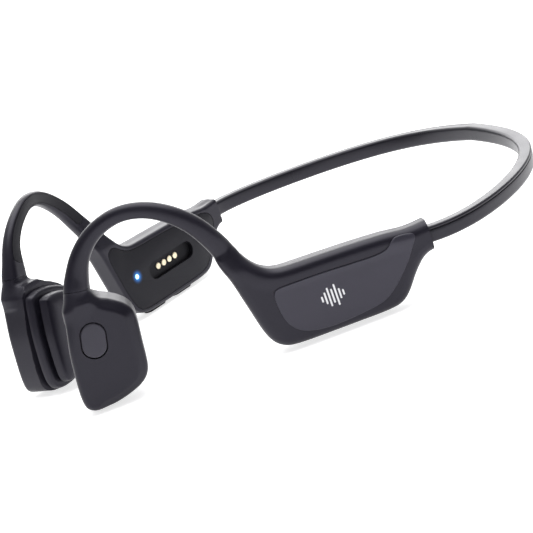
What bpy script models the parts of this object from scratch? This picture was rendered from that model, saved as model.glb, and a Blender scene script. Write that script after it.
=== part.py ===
"""Bone conduction headphones with a behind-the-head neckband.

The frame: +Z up, the wearer faces -Y, +X is the wearer's left. The headphones stand on a table as
they rest, on both housings and both pods, with the origin in the middle of the footprint on the table.
Sizes in the constants are millimetres; the objects are in metres.
"""

import math

import bmesh
import bpy
from mathutils import Vector

MM = 0.001
GAP = 0.3  # between pieces that touch

# Where the origin lies in the drawing frame, whose zero is the front foot of the pods.
ORIGIN_Y = 70.42
ORIGIN_Z = -1.5

# Housing: a flat pillow behind the ear, set in a plane turned outwards from the fore-aft direction.
HOUSING_TURN = 21.6  # degrees
HOUSING_FOOT = (42.22, 43.3, 0.0)  # front foot of the housing's middle plane
HOUSING_HALF = 3.7  # half of its thickness
HOUSING_WALL = 1.5
HOUSING_FLOOR = -0.7  # height of the flat underside
HOUSING_OUTLINE = (
    (-8.9, 26.9), (-7.0, 19.5), (-5.0, 10.9), (-3.8, 5.9), (-2.2, 2.2), (0.6, 0.0), (4.8, -0.6),
    (12.0, -0.7), (20.0, -0.7), (27.0, -0.65), (31.3, 0.0), (34.1, 2.2), (36.9, 5.9), (39.8, 8.9),
    (42.4, 10.0), (42.9, 12.5), (43.0, 16.2), (42.1, 17.6), (37.5, 17.4), (32.0, 18.1), (24.3, 18.6),
    (16.3, 18.9), (9.0, 19.1), (4.4, 19.4), (1.3, 20.7), (-0.8, 22.9), (-2.4, 25.6), (-3.96, 28.4),
)  # along the housing and up
ROOT_LOW, ROOT_HIGH = 21.7, 27.9  # heights between which the housing thins into the hook
ROOT_THIN, ROOT_SHIFT = 0.68, 0.3

CAVITY_OUTLINE = (
    (-3.2, 15.6), (-2.6, 10.9), (-1.6, 6.0), (0.2, 2.4), (3.0, 1.5), (16.0, 1.3), (28.0, 1.5),
    (32.2, 3.2), (35.4, 7.2), (38.3, 10.6), (38.8, 13.0), (37.0, 15.2), (30.0, 16.1), (16.0, 16.9),
    (6.0, 17.1), (0.0, 17.3),
)
COVER_OUTLINE = (
    (-5.6, 19.6), (-4.2, 11.4), (-2.9, 6.0), (-0.9, 2.0), (2.6, 0.75), (14.0, 0.6), (26.0, 0.7),
    (30.6, 1.6), (33.6, 4.4), (36.4, 8.3), (38.8, 11.2), (38.9, 14.2), (36.0, 16.0), (30.0, 16.8),
    (16.0, 17.6), (8.0, 17.8), (2.5, 18.4), (-0.8, 20.2), (-2.9, 21.6),
)
COVER_THICK = 1.1
PLATE_OUTLINE = (
    (1.6, 13.6), (2.6, 14.9), (6.0, 15.1), (14.0, 15.0), (22.0, 14.6), (28.0, 14.4), (31.2, 14.9),
    (33.0, 16.3), (34.6, 17.0), (38.6, 16.4), (39.0, 15.4), (37.9, 13.6), (36.2, 11.0), (34.5, 9.0),
    (31.0, 5.4), (27.0, 2.8), (22.0, 1.9), (15.0, 1.4), (9.6, 1.7), (5.6, 2.9), (2.9, 5.4), (1.7, 9.5),
)
PLATE_THICK = 0.6

# Charging contacts, on the standard 2.54 mm pitch, in a slot in the right housing's inner cover.
CONTACT_PITCH = 2.54
CONTACT_MIDDLE = (16.6, 9.35)
CONTACT_RADIUS = 0.95
SLOT_MIDDLE = (17.3, 9.1)
SLOT_LENGTH, SLOT_HEIGHT = 19.6, 5.0
LIGHT_POSITION = (2.4, 10.4)
LIGHT_RADIUS = 0.7

# Volume buttons, in the right housing's underside.
VOLUME_MIDDLES = {"volume_up_button": 8.3, "volume_down_button": 20.2}
VOLUME_LENGTH, VOLUME_WIDTH = 8.2, 3.2
VOLUME_PROUD = 0.8
VOLUME_HOLE_EXTRA = 0.3

# Pod: the transducer's case, in front of the ear.
POD_TURN = 24.0
POD_FOOT = (18.0, -0.6, 0.0)
POD_OUTLINE = (
    (3.3, 29.5), (1.9, 25.4), (0.8, 20.5), (-0.3, 15.3), (-0.9, 10.6), (-1.35, 6.0), (-1.4, 3.0),
    (-0.9, 0.7), (0.9, -0.5), (3.5, -0.7), (6.9, -0.4), (11.0, 0.7), (14.0, 2.0), (15.9, 3.7),
    (17.0, 6.3), (17.6, 11.4), (18.2, 16.5), (18.3, 19.5), (17.6, 21.6), (15.8, 23.6), (13.3, 25.3),
    (11.5, 26.7), (10.5, 29.2),
)
POD_FACE, POD_SEAM = 2.5, -6.7  # outer face and parting line, along the outward normal
POD_STEP, POD_PAD_SEAT, POD_PAD_FACE = -9.2, -9.9, -13.3
PAD_TRAVEL = 0.15
INNER_OUTLINE = (
    (2.2, 24.4), (1.1, 20.5), (0.0, 15.3), (-0.6, 10.6), (-1.0, 6.0), (-0.9, 3.0),
    (-0.1, 1.1), (1.4, 0.1), (3.6, -0.2), (6.9, 0.0), (10.9, 1.1), (13.6, 2.4), (15.2, 4.1),
    (16.3, 6.4), (17.2, 11.4), (17.8, 16.5), (17.9, 19.4), (17.1, 21.2), (15.2, 22.8), (12.2, 24.2),
    (9.2, 25.1), (5.6, 25.5), (3.2, 25.1),
)
BUTTON_MIDDLE = (6.5, 16.9)
BUTTON_LENGTH, BUTTON_WIDTH, BUTTON_LEAN = 8.9, 6.2, 12.0
BUTTON_PROUD = 0.25

# Ear hook: middle line of the overmould, then half width and half thickness along it.
HOOK_LINE = (
    (19.94, 5.98, 29.70), (20.35, 7.0, 32.6), (21.7, 8.8, 36.9), (23.4, 11.6, 40.5), (25.9, 15.3, 43.2),
    (29.5, 19.6, 44.6), (33.6, 24.1, 43.9), (37.0, 28.4, 41.2), (39.2, 32.4, 36.9), (40.0, 35.4, 31.9),
    (39.9, 37.4, 27.9),
)
HOOK_HALF_WIDTH = (3.35, 3.0, 2.5, 2.2, 2.05, 2.0, 2.05, 2.2, 2.4, 2.6, 2.75)
HOOK_HALF_THICK = (3.15, 2.7, 2.2, 2.0, 1.95, 1.9, 1.95, 2.05, 2.2, 2.35, 2.5)
HOOK_BORE = 0.9
HOOK_WIRE = 0.6
INLAY_THICK = 0.45
HOOK_FLAT = 0.5  # depth of the flat that the inlay strip lies on

# Neckband: a flat curve behind the head, from each housing to the middle of the back.
BAND_CONTROL = ((57.895, 83.257), (66.77, 97.3), (48.9, 121.1), (43.8, 141.04), (0.0, 141.04))
BAND_HEIGHTS = (13.75, -0.92, 3.82)  # start height, rise and curve towards the middle
BAND_HALF_HIGH, BAND_HALF_THICK = 2.15, 1.8
BAND_BORE = 0.85
BAND_WIRE = 0.55
SLEEVE_DEPTH = 1.8  # how far the sleeve goes into the housing

SEGMENTS = 44


def clear_scene():
    for obj in list(bpy.data.objects):
        bpy.data.objects.remove(obj, do_unlink=True)


def material(name, colour, roughness, metallic=0.0):
    found = bpy.data.materials.get(name)
    if found:
        return found
    made = bpy.data.materials.new(name)
    made.use_nodes = True
    shader = made.node_tree.nodes["Principled BSDF"]
    shader.inputs["Base Color"].default_value = (*colour, 1.0)
    shader.inputs["Roughness"].default_value = roughness
    shader.inputs["Metallic"].default_value = metallic
    made.diffuse_color = (*colour, 1.0)
    return made


FINISHES = {
    "soft_touch": ((0.045, 0.043, 0.053), 0.55, 0.0),
    "satin_plate": ((0.085, 0.083, 0.1), 0.42, 0.0),
    "matte_cover": ((0.028, 0.028, 0.034), 0.6, 0.0),
    "rubber_black": ((0.012, 0.012, 0.014), 0.7, 0.0),
    "titanium": ((0.5, 0.48, 0.46), 0.35, 1.0),
    "steel": ((0.55, 0.55, 0.57), 0.3, 1.0),
    "gold": ((0.95, 0.78, 0.45), 0.25, 1.0),
    "circuit_green": ((0.02, 0.16, 0.07), 0.5, 0.0),
    "battery_foil": ((0.35, 0.36, 0.4), 0.35, 0.6),
    "copper": ((0.72, 0.33, 0.16), 0.35, 1.0),
    "light_blue": ((0.1, 0.45, 1.0), 0.2, 0.0),
}

PARENTS = {}


def to_frame(point):
    """From the drawing frame in millimetres to the object's frame in metres."""
    return Vector((point[0] * MM, (point[1] - ORIGIN_Y) * MM, (point[2] - ORIGIN_Z) * MM))


def mirrored(point):
    return Vector((-point[0], point[1], point[2]))


class Plane:
    """A upright working plane of one side: along it, outwards from it, and up."""

    def __init__(self, foot, turn, side):
        a = math.radians(turn)
        self.foot, self.side = Vector(foot), side
        self.along = Vector((math.sin(a), math.cos(a), 0.0))
        self.out = Vector((math.cos(a), -math.sin(a), 0.0))

    def at(self, along, out, up):
        p = self.foot + self.along * along + self.out * out + Vector((0, 0, up))
        return p if self.side == "left" else mirrored(p)


def smooth_loop(points, count):
    """A closed smooth curve through the points, as evenly spaced points."""
    n = len(points)
    dense = []
    for i in range(n):
        p0, p1, p2, p3 = (Vector(points[(i + k) % n]) for k in (-1, 0, 1, 2))
        for step in range(12):
            t = step / 12
            dense.append(
                0.5 * (2 * p1 + (p2 - p0) * t + (2 * p0 - 5 * p1 + 4 * p2 - p3) * t * t + (3 * p1 - p0 - 3 * p2 + p3) * t**3)
            )
    return spaced(dense + [dense[0]], count + 1)[:-1]


def smooth_line(points, count):
    """An open smooth curve through the points, as evenly spaced points, with its values interpolated."""
    pts = [Vector(p) for p in points]
    pts = [pts[0] * 2 - pts[1], *pts, pts[-1] * 2 - pts[-2]]
    dense = []
    for i in range(1, len(pts) - 2):
        p0, p1, p2, p3 = pts[i - 1 : i + 3]
        for step in range(12):
            t = step / 12
            dense.append(
                0.5 * (2 * p1 + (p2 - p0) * t + (2 * p0 - 5 * p1 + 4 * p2 - p3) * t * t + (3 * p1 - p0 - 3 * p2 + p3) * t**3)
            )
    dense.append(pts[-2])
    return spaced(dense, count)


def spaced(dense, count):
    lengths = [0.0]
    for a, b in zip(dense, dense[1:]):
        lengths.append(lengths[-1] + (b - a).length)
    out, k = [], 0
    for i in range(count):
        target = lengths[-1] * i / (count - 1)
        while k < len(dense) - 2 and lengths[k + 1] < target:
            k += 1
        span = lengths[k + 1] - lengths[k]
        out.append(dense[k].lerp(dense[k + 1], (target - lengths[k]) / span if span else 0.0))
    return out


def inset(loop, distance):
    """The closed loop of 2-D points moved inwards by the distance."""
    n = len(loop)
    area = sum(a.x * b.y - b.x * a.y for a, b in zip(loop, loop[1:] + loop[:1]))
    turn = 1.0 if area > 0 else -1.0
    out = []
    for i in range(n):
        d = (loop[(i + 1) % n] - loop[i - 1]).normalized()
        out.append(loop[i] + Vector((-d.y, d.x)) * distance * turn)
    return out


def stadium(middle, length, width, lean=0.0, per_end=7):
    """A slot-shaped loop, long side up before it leans; lean turns its top towards +along."""
    a = math.radians(lean)
    run = (length - width) / 2
    out = []
    for end in (1, -1):
        for k in range(per_end):
            t = math.pi * k / (per_end - 1) + (0 if end == 1 else math.pi)
            x, y = width / 2 * math.cos(t), width / 2 * math.sin(t) + end * run
            out.append(Vector((middle[0] + x * math.cos(a) + y * math.sin(a), middle[1] - x * math.sin(a) + y * math.cos(a))))
    return out


def finish(name, mesh, finish_name, hinge=None, smooth=35.0):
    """Puts a bmesh, built in drawing millimetres, into the scene as one object."""
    bmesh.ops.recalc_face_normals(mesh, faces=mesh.faces[:])
    data = bpy.data.meshes.new(name)
    origin = to_frame(hinge) if hinge is not None else Vector((0, 0, 0))
    for v in mesh.verts:
        v.co = to_frame(v.co) - origin
    bmesh.ops.triangulate(mesh, faces=[f for f in mesh.faces if len(f.verts) > 4])
    mesh.to_mesh(data)
    mesh.free()
    data.shade_smooth()
    data.set_sharp_from_angle(angle=math.radians(smooth))
    obj = bpy.data.objects.new(name, data)
    bpy.context.scene.collection.objects.link(obj)
    obj.location = origin
    colour, roughness, metallic = FINISHES[finish_name]
    data.materials.append(material(finish_name, colour, roughness, metallic))
    return obj


def loft(rings, caps=True, ring_closed=False):
    """A closed skin over rings with the same number of points."""
    mesh = bmesh.new()
    loops = [[mesh.verts.new(p) for p in ring] for ring in rings]
    pairs = list(zip(loops, loops[1:]))
    if ring_closed:
        pairs.append((loops[-1], loops[0]))
    for a, b in pairs:
        n = len(a)
        for i in range(n):
            mesh.faces.new((a[i], a[(i + 1) % n], b[(i + 1) % n], b[i]))
    if caps and not ring_closed:
        mesh.faces.new(loops[0][::-1])
        mesh.faces.new(loops[-1])
    return mesh


def pipe(outer, inner):
    """A pipe with open ends, from matching outer and inner rings."""
    return loft(list(outer) + list(inner)[::-1], ring_closed=True)


def cut(obj, cutter_mesh, name):
    """Takes a closed shape away from the object with an exact Boolean."""
    cutter = finish(name, cutter_mesh, "rubber_black")
    cutter.hide_render = True
    cutter.display_type = "WIRE"
    modifier = obj.modifiers.new(name, "BOOLEAN")
    modifier.operation, modifier.solver, modifier.object = "DIFFERENCE", "EXACT", cutter
    return cutter


def slab(plane, loop, low, high, edge=0.0):
    """A flat piece with the loop's outline, from low to high along the outward normal, its edges broken by edge."""
    levels = [(low, edge), (low + edge, 0.0), (high - edge, 0.0), (high, edge)] if edge else [(low, 0.0), (high, 0.0)]
    return loft([[plane.at(p.x, out, p.y) for p in inset(loop, d)] for out, d in levels])


def box_between(plane, a, b):
    """A block in a plane's own directions between two corners (along, out, up)."""
    rings = []
    for out in (a[1], b[1]):
        rings.append([plane.at(u, out, z) for u, z in ((a[0], a[2]), (b[0], a[2]), (b[0], b[2]), (a[0], b[2]))])
    return loft(rings)


def turned(centre, axis, profile, count=16, annular=False):
    """A turned shape about an axis: profile is (distance along the axis, radius), its ends capped, or joined if it is annular."""
    axis = Vector(axis).normalized()
    side = axis.orthogonal().normalized()
    other = axis.cross(side)
    rings = []
    for along, radius in profile:
        rings.append(
            [centre + axis * along + (side * math.cos(t) + other * math.sin(t)) * radius for t in (2 * math.pi * k / count for k in range(count))]
        )
    return loft(rings, ring_closed=annular)


# ---------------------------------------------------------------- housing


def housing_depth(out, up):
    """The housing thins and moves outwards where it runs up into the hook."""
    t = min(1.0, max(0.0, (up - ROOT_LOW) / (ROOT_HIGH - ROOT_LOW)))
    t = t * t * (3 - 2 * t)
    return out * (1 - t * (1 - ROOT_THIN)) + ROOT_SHIFT * t


def housing_shell(side):
    plane = Plane(HOUSING_FOOT, HOUSING_TURN, side)
    outline = smooth_loop(HOUSING_OUTLINE, SEGMENTS)
    outline = [Vector((p.x, HOUSING_FLOOR)) if p.y < HOUSING_FLOOR + 0.12 else p for p in outline]
    h = HOUSING_HALF
    levels = (
        (-h, 1.0), (-h + 0.55, 0.3), (-h + 1.5, 0.0), (h - 3.0, 0.0), (h - 1.5, 0.45), (h - 0.5, 1.25), (h, 2.2),
    )
    rings = []
    for out, d in levels:
        rings.append([plane.at(p.x, housing_depth(out, p.y), p.y) for p in inset(outline, d)])
    shell = finish(side + "_housing_shell", loft(rings), "soft_touch")
    cavity = smooth_loop(CAVITY_OUTLINE, 28)
    cut(shell, slab(plane, cavity, -h - 1.0, h - HOUSING_WALL), side + "_cavity_cutter")
    seat = smooth_loop(COVER_OUTLINE, 36)
    levels = ((-h - 1.0, 0.0), (-h + COVER_THICK + GAP, 0.0))
    rings = [[plane.at(p.x, housing_depth(out, p.y) if out > -h else out, p.y) for p in inset(seat, d)] for out, d in levels]
    cut(shell, loft(rings), side + "_cover_seat_cutter")
    # the neckband's way in, at the rear end
    line = band_line(side, 60)
    start = line[0]
    direction = (line[2] - line[0]).normalized()
    rings = [ring_at(start + direction * d, direction, BAND_HALF_THICK + GAP, BAND_HALF_HIGH + GAP, 10) for d in (-7.5, 3.0)]
    cut(shell, loft(rings), side + "_band_socket_cutter")
    return shell, plane


def housing_cover(side, holes=()):
    plane = Plane(HOUSING_FOOT, HOUSING_TURN, side)
    loop = inset(smooth_loop(COVER_OUTLINE, 36), GAP * 0.6)
    h = HOUSING_HALF
    rings = []
    for out, d in ((-h, 0.25), (-h + 0.25, 0.0), (-h + COVER_THICK, 0.0)):
        rings.append([plane.at(p.x, housing_depth(out, p.y), p.y) for p in inset(loop, d)])
    cover = finish(side + "_inner_cover", loft(rings), "matte_cover")
    for k, mesh in enumerate(holes):
        cut(cover, mesh, side + f"_cover_hole_cutter_{k}")
    return cover


def trim_plate(side):
    plane = Plane(HOUSING_FOOT, HOUSING_TURN, side)
    loop = smooth_loop(PLATE_OUTLINE, 32)
    low = HOUSING_HALF + 0.15
    return finish(side + "_trim_plate", slab(plane, loop, low, low + PLATE_THICK, 0.2), "satin_plate")


# ---------------------------------------------------------------- neckband


def band_line(side, count):
    """Middle line of half the neckband, from the housing to the middle of the back."""
    out = []
    for i in range(count):
        t = i / (count - 1)
        x = y = 0.0
        for k, (cx, cy) in enumerate(BAND_CONTROL):
            w = math.comb(4, k) * (1 - t) ** (4 - k) * t**k
            x, y = x + w * cx, y + w * cy
        p = Vector((x, y, BAND_HEIGHTS[0] + BAND_HEIGHTS[1] * t + BAND_HEIGHTS[2] * t * t))
        out.append(p if side == "left" else mirrored(p))
    return spaced(out, count)


def ring_at(centre, direction, half_thick, half_high, count, power=0.75):
    """A rounded rectangular ring across a direction that lies about level."""
    level = direction.cross(Vector((0, 0, 1))).normalized()
    up = level.cross(direction).normalized()
    ring = []
    for k in range(count):
        t = 2 * math.pi * (k + 0.5) / count
        c, s = math.cos(t), math.sin(t)
        x = math.copysign(abs(c) ** power, c) * half_thick
        y = math.copysign(abs(s) ** power, s) * half_high
        ring.append(centre + level * x + up * y)
    return ring


def directions(line, last=None):
    out = []
    for i in range(len(line)):
        d = line[min(i + 1, len(line) - 1)] - line[max(i - 1, 0)]
        out.append(d.normalized())
    if last is not None:
        out[-1] = last
    return out


def band_half(side, half_thick, half_high, bore, start, stop, stations):
    """Rings of the outer and the inner skin of half a sleeve, trimmed by start and stop millimetres at its ends."""
    line = band_line(side, 400)
    total = sum((b - a).length for a, b in zip(line, line[1:]))
    first = int(len(line) * start / total)
    last = len(line) - 1
    line = spaced(line[first : last + 1], stations)
    across = Vector((-1.0 if side == "left" else 1.0, 0, 0))
    ways = directions(line, across)
    line[-1] = Vector((math.copysign(stop, line[0].x), line[-1].y, line[-1].z))
    outer = [ring_at(p, d, half_thick, half_high, 10) for p, d in zip(line, ways)]
    inner = [ring_at(p, d, bore, bore, 10, 1.0) for p, d in zip(line, ways)] if bore else None
    return outer, inner


def neckband(side):
    outer, inner = band_half(side, BAND_HALF_THICK, BAND_HALF_HIGH, BAND_BORE, 0.0, GAP / 2, 22)
    lead = directions(band_line(side, 400))[0]
    outer[0], inner[0] = ([p - lead * SLEEVE_DEPTH for p in ring] for ring in (outer[0], inner[0]))
    finish(side + "_band_sleeve", pipe(outer, inner), "soft_touch")
    wire, _ = band_half(side, BAND_WIRE, BAND_WIRE, None, 0.0, GAP / 2, 20)
    wire[0] = [p - lead * (SLEEVE_DEPTH + 3.6) for p in wire[0]]
    six = [[r[0], r[2], r[4], r[5], r[7], r[9]] for r in wire]
    finish(side + "_band_wire", loft(six), "titanium")


# ---------------------------------------------------------------- ear hook


def hook_rings(side, count, around, grow=0.0, bore=None):
    """Rings across the ear hook: flat towards the head, where the inlay strip lies."""
    line = smooth_line(HOOK_LINE, count)
    values = smooth_line([(w, t, 0) for w, t in zip(HOOK_HALF_WIDTH, HOOK_HALF_THICK)], count)
    ways = directions(line)
    rings = []
    for i, (p, way, value) in enumerate(zip(line, ways, values)):
        # outwards, away from the head, square to the way along the hook
        turn = math.radians(30.0)
        out = Vector((math.cos(turn), -math.sin(turn), 0.0))
        out = (out - way * out.dot(way)).normalized()
        broad = way.cross(out).normalized()
        w, t = (bore, bore) if bore else (value.x + grow, value.y + grow)
        ring = []
        for k in range(around):
            a = 2 * math.pi * (k + 0.5) / around
            c, s = math.cos(a), math.sin(a)
            if bore:
                x, y = c * w, s * t
            else:
                x = math.copysign(abs(c) ** 0.9, c) * w
                y = math.copysign(abs(s) ** 0.9, s) * t
                y = max(y, -t + HOOK_FLAT)
            q = p + broad * x + out * y
            ring.append(q if side == "left" else mirrored(q))
        rings.append((ring, p, way, out, broad, value))
    return rings


def trimmed(points, plane_point, plane_normal, whole=True):
    """Moves a ring square to a plane: all of it, or only its points behind the plane."""
    out = []
    for p in points:
        d = (p - plane_point).dot(plane_normal)
        out.append(p - plane_normal * d if whole or d < 0.15 else p)
    return out


def hook(side):
    outer = hook_rings(side, 22, 14)
    inner = hook_rings(side, 22, 14, bore=HOOK_BORE)
    mirror = (lambda v: v) if side == "left" else mirrored
    # square faces where the hook meets the pod and the housing
    foot, top = Vector((19.94, 5.98, 29.7)), Vector((40.13, 37.21, 28.15))
    low_normal = Vector((0.04, 0.15, 1.0)).normalized()
    high_normal = Vector((0.107, 0.27, -0.957)).normalized()
    rings_o, rings_i = [r[0] for r in outer], [r[0] for r in inner]
    for rings in (rings_o, rings_i):
        low, high = mirror(foot + low_normal * GAP), mirror(top - high_normal * GAP)
        for k in (1, 2):
            rings[k] = trimmed(rings[k], low + mirror(low_normal) * 0.3, mirror(low_normal), False)
            rings[-1 - k] = trimmed(rings[-1 - k], high - mirror(high_normal) * 0.3, -mirror(high_normal), False)
        rings[0] = trimmed(rings[0], low, mirror(low_normal))
        rings[-1] = trimmed(rings[-1], high, mirror(high_normal))
    finish(side + "_hook_sleeve", pipe(rings_o, rings_i), "soft_touch")
    wire = [r[0] for r in hook_rings(side, 22, 6, bore=HOOK_WIRE)]
    finish(side + "_hook_wire", loft(wire[1:-1]), "titanium")
    strip = []
    for ring, p, way, out, broad, value in outer[2:-2]:
        w = value.x * 0.52
        base = -value.y + HOOK_FLAT - 0.1
        corners = ((-w, base), (w, base), (w * 0.9, base - INLAY_THICK), (-w * 0.9, base - INLAY_THICK))
        strip.append([mirror(p + broad * x + out * y) for x, y in corners])
    finish(side + "_hook_inlay", loft(strip), "matte_cover")


# ---------------------------------------------------------------- pod


def pod_depth(out, up):
    """The pod thins to the hook's thickness at its neck."""
    t = min(1.0, max(0.0, (up - 22.5) / 6.0))
    t = t * t * (3 - 2 * t)
    if out >= 0:
        return out
    return out * (1 - t * (1 - 4.15 / -POD_SEAM))


def pod_outer(side):
    plane = Plane(POD_FOOT, POD_TURN, side)
    outline = smooth_loop(POD_OUTLINE, 36)
    levels = ((POD_SEAM + GAP / 2, 0.0), (-1.5, 0.0), (0.6, 0.25), (1.9, 1.1), (POD_FACE, 2.4))
    rings = [[plane.at(p.x, pod_depth(out, p.y), p.y) for p in inset(outline, d)] for out, d in levels]
    shell = finish(side + "_pod_outer_shell", loft(rings), "soft_touch")
    room = [p for p in inset(smooth_loop(INNER_OUTLINE, 24), 1.7)]
    cut(shell, slab(plane, room, POD_SEAM - 2.0, POD_FACE - 1.6), side + "_pod_room_cutter")
    return shell, plane


def pod_inner(side):
    plane = Plane(POD_FOOT, POD_TURN, side)
    outline = smooth_loop(INNER_OUTLINE, 32)
    levels = ((POD_SEAM - GAP / 2, 0.0), (POD_STEP + 0.8, 0.15), (POD_STEP + 0.2, 0.6), (POD_STEP, 1.2))
    rings = [[plane.at(p.x, out, p.y) for p in inset(outline, d)] for out, d in levels]
    shell = finish(side + "_pod_inner_shell", loft(rings), "soft_touch")
    room = [p for p in inset(smooth_loop(INNER_OUTLINE, 24), 2.0)]
    cut(shell, slab(plane, room, POD_SEAM + 1.0, POD_SEAM - 1.5), side + "_pod_inner_room_cutter")
    cut(shell, turned(plane.at(8.6, 0, 13.2), plane.out if side == "left" else mirrored(plane.out), ((POD_STEP - 1.0, 3.2), (POD_SEAM + 1.0, 3.2)), 16), side + "_pod_post_hole_cutter")
    return shell


def pod_pad(side):
    """The vibrating pad, with the post that carries it through the inner shell."""
    plane = Plane(POD_FOOT, POD_TURN, side)
    outline = inset(smooth_loop(INNER_OUTLINE, 28), 1.9)
    face = POD_PAD_FACE
    levels = ((POD_PAD_SEAT, 0.6), (POD_PAD_SEAT - 0.5, 0.0), (face + 1.1, 0.15), (face + 0.3, 1.1), (face, 2.8))
    rings = [[plane.at(p.x, out, p.y) for p in inset(outline, d)] for out, d in levels]
    return finish(side + "_transducer_pad", loft(rings), "soft_touch", hinge=plane.at(8.6, POD_PAD_FACE, 13.2))


def transducer(side):
    plane = Plane(POD_FOOT, POD_TURN, side)
    axis = plane.out if side == "left" else mirrored(plane.out)
    centre = plane.at(8.6, 0, 13.2)
    # steel cup, open towards the pad
    finish(
        side + "_transducer_yoke",
        turned(centre, axis, ((-2.9, 0.8), (-2.9, 5.3), (-4.7, 5.3), (-4.7, 6.2), (-2.0, 6.2), (-2.0, 0.8)), 16),
        "steel",
    )
    finish(side + "_transducer_magnet", turned(centre, axis, ((-5.4, 3.4), (-3.2, 3.4)), 14), "steel")
    finish(
        side + "_voice_coil",
        turned(centre, axis, ((-7.1, 4.9), (-7.1, 3.9), (-3.7, 3.9), (-3.7, 4.9)), 16, annular=True),
        "copper",
        hinge=centre,
    )
    finish(
        side + "_transducer_armature",
        turned(centre, axis, ((-9.6, 2.6), (-7.95, 2.6), (-7.8, 5.6), (-7.4, 5.6)), 14),
        "steel",
        hinge=centre,
    )


# ---------------------------------------------------------------- buttons and inner parts


def multifunction_button():
    plane = Plane(POD_FOOT, POD_TURN, "left")
    shell = bpy.data.objects["left_pod_outer_shell"]
    hole = stadium(BUTTON_MIDDLE, BUTTON_LENGTH + 0.6, BUTTON_WIDTH + 0.6, BUTTON_LEAN)
    cut(shell, slab(plane, hole, 0.0, POD_FACE + 2.0), "multifunction_button_hole_cutter")
    loop = stadium(BUTTON_MIDDLE, BUTTON_LENGTH, BUTTON_WIDTH, BUTTON_LEAN)
    top = POD_FACE + BUTTON_PROUD
    rings = []
    for out, d in ((0.1, -0.6), (0.5, -0.6), (0.5, 0.0), (top - 0.5, 0.0), (top - 0.12, 0.35), (top, 0.9)):
        rings.append([plane.at(p.x, out, p.y) for p in inset(loop, d)])
    finish("multifunction_button", loft(rings), "soft_touch", hinge=plane.at(BUTTON_MIDDLE[0], top, BUTTON_MIDDLE[1]))
    u, z = BUTTON_MIDDLE
    finish("multifunction_switch", box_between(plane, (u - 1.5, -1.6, z - 1.5), (u + 1.5, -0.55, z + 1.5)), "steel")
    finish("microphone", box_between(plane, (2.2, -2.6, 2.6), (5.2, -1.5, 5.6)), "steel")


def volume_buttons():
    plane = Plane(HOUSING_FOOT, HOUSING_TURN, "right")
    shell = bpy.data.objects["right_housing_shell"]
    for name, middle in VOLUME_MIDDLES.items():
        def ring(extra, up, less=0.0):
            loop = stadium((0.0, 0.0), VOLUME_LENGTH + extra - less, VOLUME_WIDTH + extra - less, 0.0, 6)
            return [plane.at(middle + p.y, p.x, up) for p in loop]

        cut(shell, loft([ring(VOLUME_HOLE_EXTRA * 2, -3.0), ring(VOLUME_HOLE_EXTRA * 2, 2.6)]), name + "_hole_cutter")
        foot = HOUSING_FLOOR - VOLUME_PROUD
        body = loft([ring(0, foot, 0.5), ring(0, foot + 0.25), ring(0, 1.9), ring(0.8, 1.9), ring(0.8, 2.3)])
        finish(name, body, "rubber_black", hinge=plane.at(middle, 0.0, foot))
        finish(
            name.replace("button", "switch"),
            box_between(plane, (middle - 1.6, -1.4, 3.0), (middle + 1.6, 0.6, 3.9)),
            "steel",
        )


def right_inner_parts():
    plane = Plane(HOUSING_FOOT, HOUSING_TURN, "right")
    h = HOUSING_HALF
    slot = stadium((0, 0), SLOT_LENGTH, SLOT_HEIGHT, 90.0)
    slot = [Vector((p.x + SLOT_MIDDLE[0], p.y + SLOT_MIDDLE[1])) for p in slot]
    axis = mirrored(plane.out)
    light = plane.at(LIGHT_POSITION[0], 0, LIGHT_POSITION[1])
    housing_cover(
        "right",
        (
            slab(plane, slot, -h - 1.0, -h + 3.0),
            turned(light, axis, ((-h - 1.0, LIGHT_RADIUS + 0.25), (-h + 3.0, LIGHT_RADIUS + 0.25)), 12),
        ),
    )
    finish("indicator_light_pipe", turned(light, axis, ((-h + 0.02, 0.5), (-h + 0.15, LIGHT_RADIUS), (-h + 2.2, LIGHT_RADIUS)), 12), "light_blue")
    # contact carrier, behind the slot
    carrier_loop = inset(slot, 0.12)
    front = -h + COVER_THICK + GAP
    carrier = finish("contact_carrier", slab(plane, carrier_loop, front, front + 1.0), "rubber_black")
    for k in range(4):
        u = CONTACT_MIDDLE[0] + (k - 1.5) * CONTACT_PITCH
        middle = plane.at(u, 0, CONTACT_MIDDLE[1])
        cut(carrier, turned(middle, axis, ((front - 1, CONTACT_RADIUS + 0.1), (front + 2, CONTACT_RADIUS + 0.1)), 12), f"contact_hole_cutter_{k + 1}")
        finish(
            f"charging_contact_{k + 1}",
            turned(
                middle,
                axis,
                ((front + 0.02, 0.83), (front + 0.12, CONTACT_RADIUS), (front + 0.7, CONTACT_RADIUS), (front + 0.7, 0.5), (front + 1.3, 0.5)),
                12,
            ),
            "gold",
        )
    for k, u in ((1, 9.6), (2, 24.2)):
        finish(f"charging_magnet_{k}", box_between(plane, (u - 1.4, front + 1.25, 7.4), (u + 1.4, front + 2.45, 10.8)), "steel")
    board_back = h - HOUSING_WALL - 0.4
    finish("main_circuit_board", box_between(plane, (1.5, board_back - 0.9, 4.0), (31.0, board_back, 15.0)), "circuit_green")


def left_inner_parts():
    plane = Plane(HOUSING_FOOT, HOUSING_TURN, "left")
    h = HOUSING_HALF
    housing_cover("left")
    low, high = -h + COVER_THICK + 2 * GAP, h - HOUSING_WALL - 0.3
    finish("battery", slab(plane, [Vector(p) for p in ((2.5, 3.4), (30.5, 3.4), (30.5, 14.9), (2.5, 14.9))], low, high, 0.4), "battery_foil")


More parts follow.
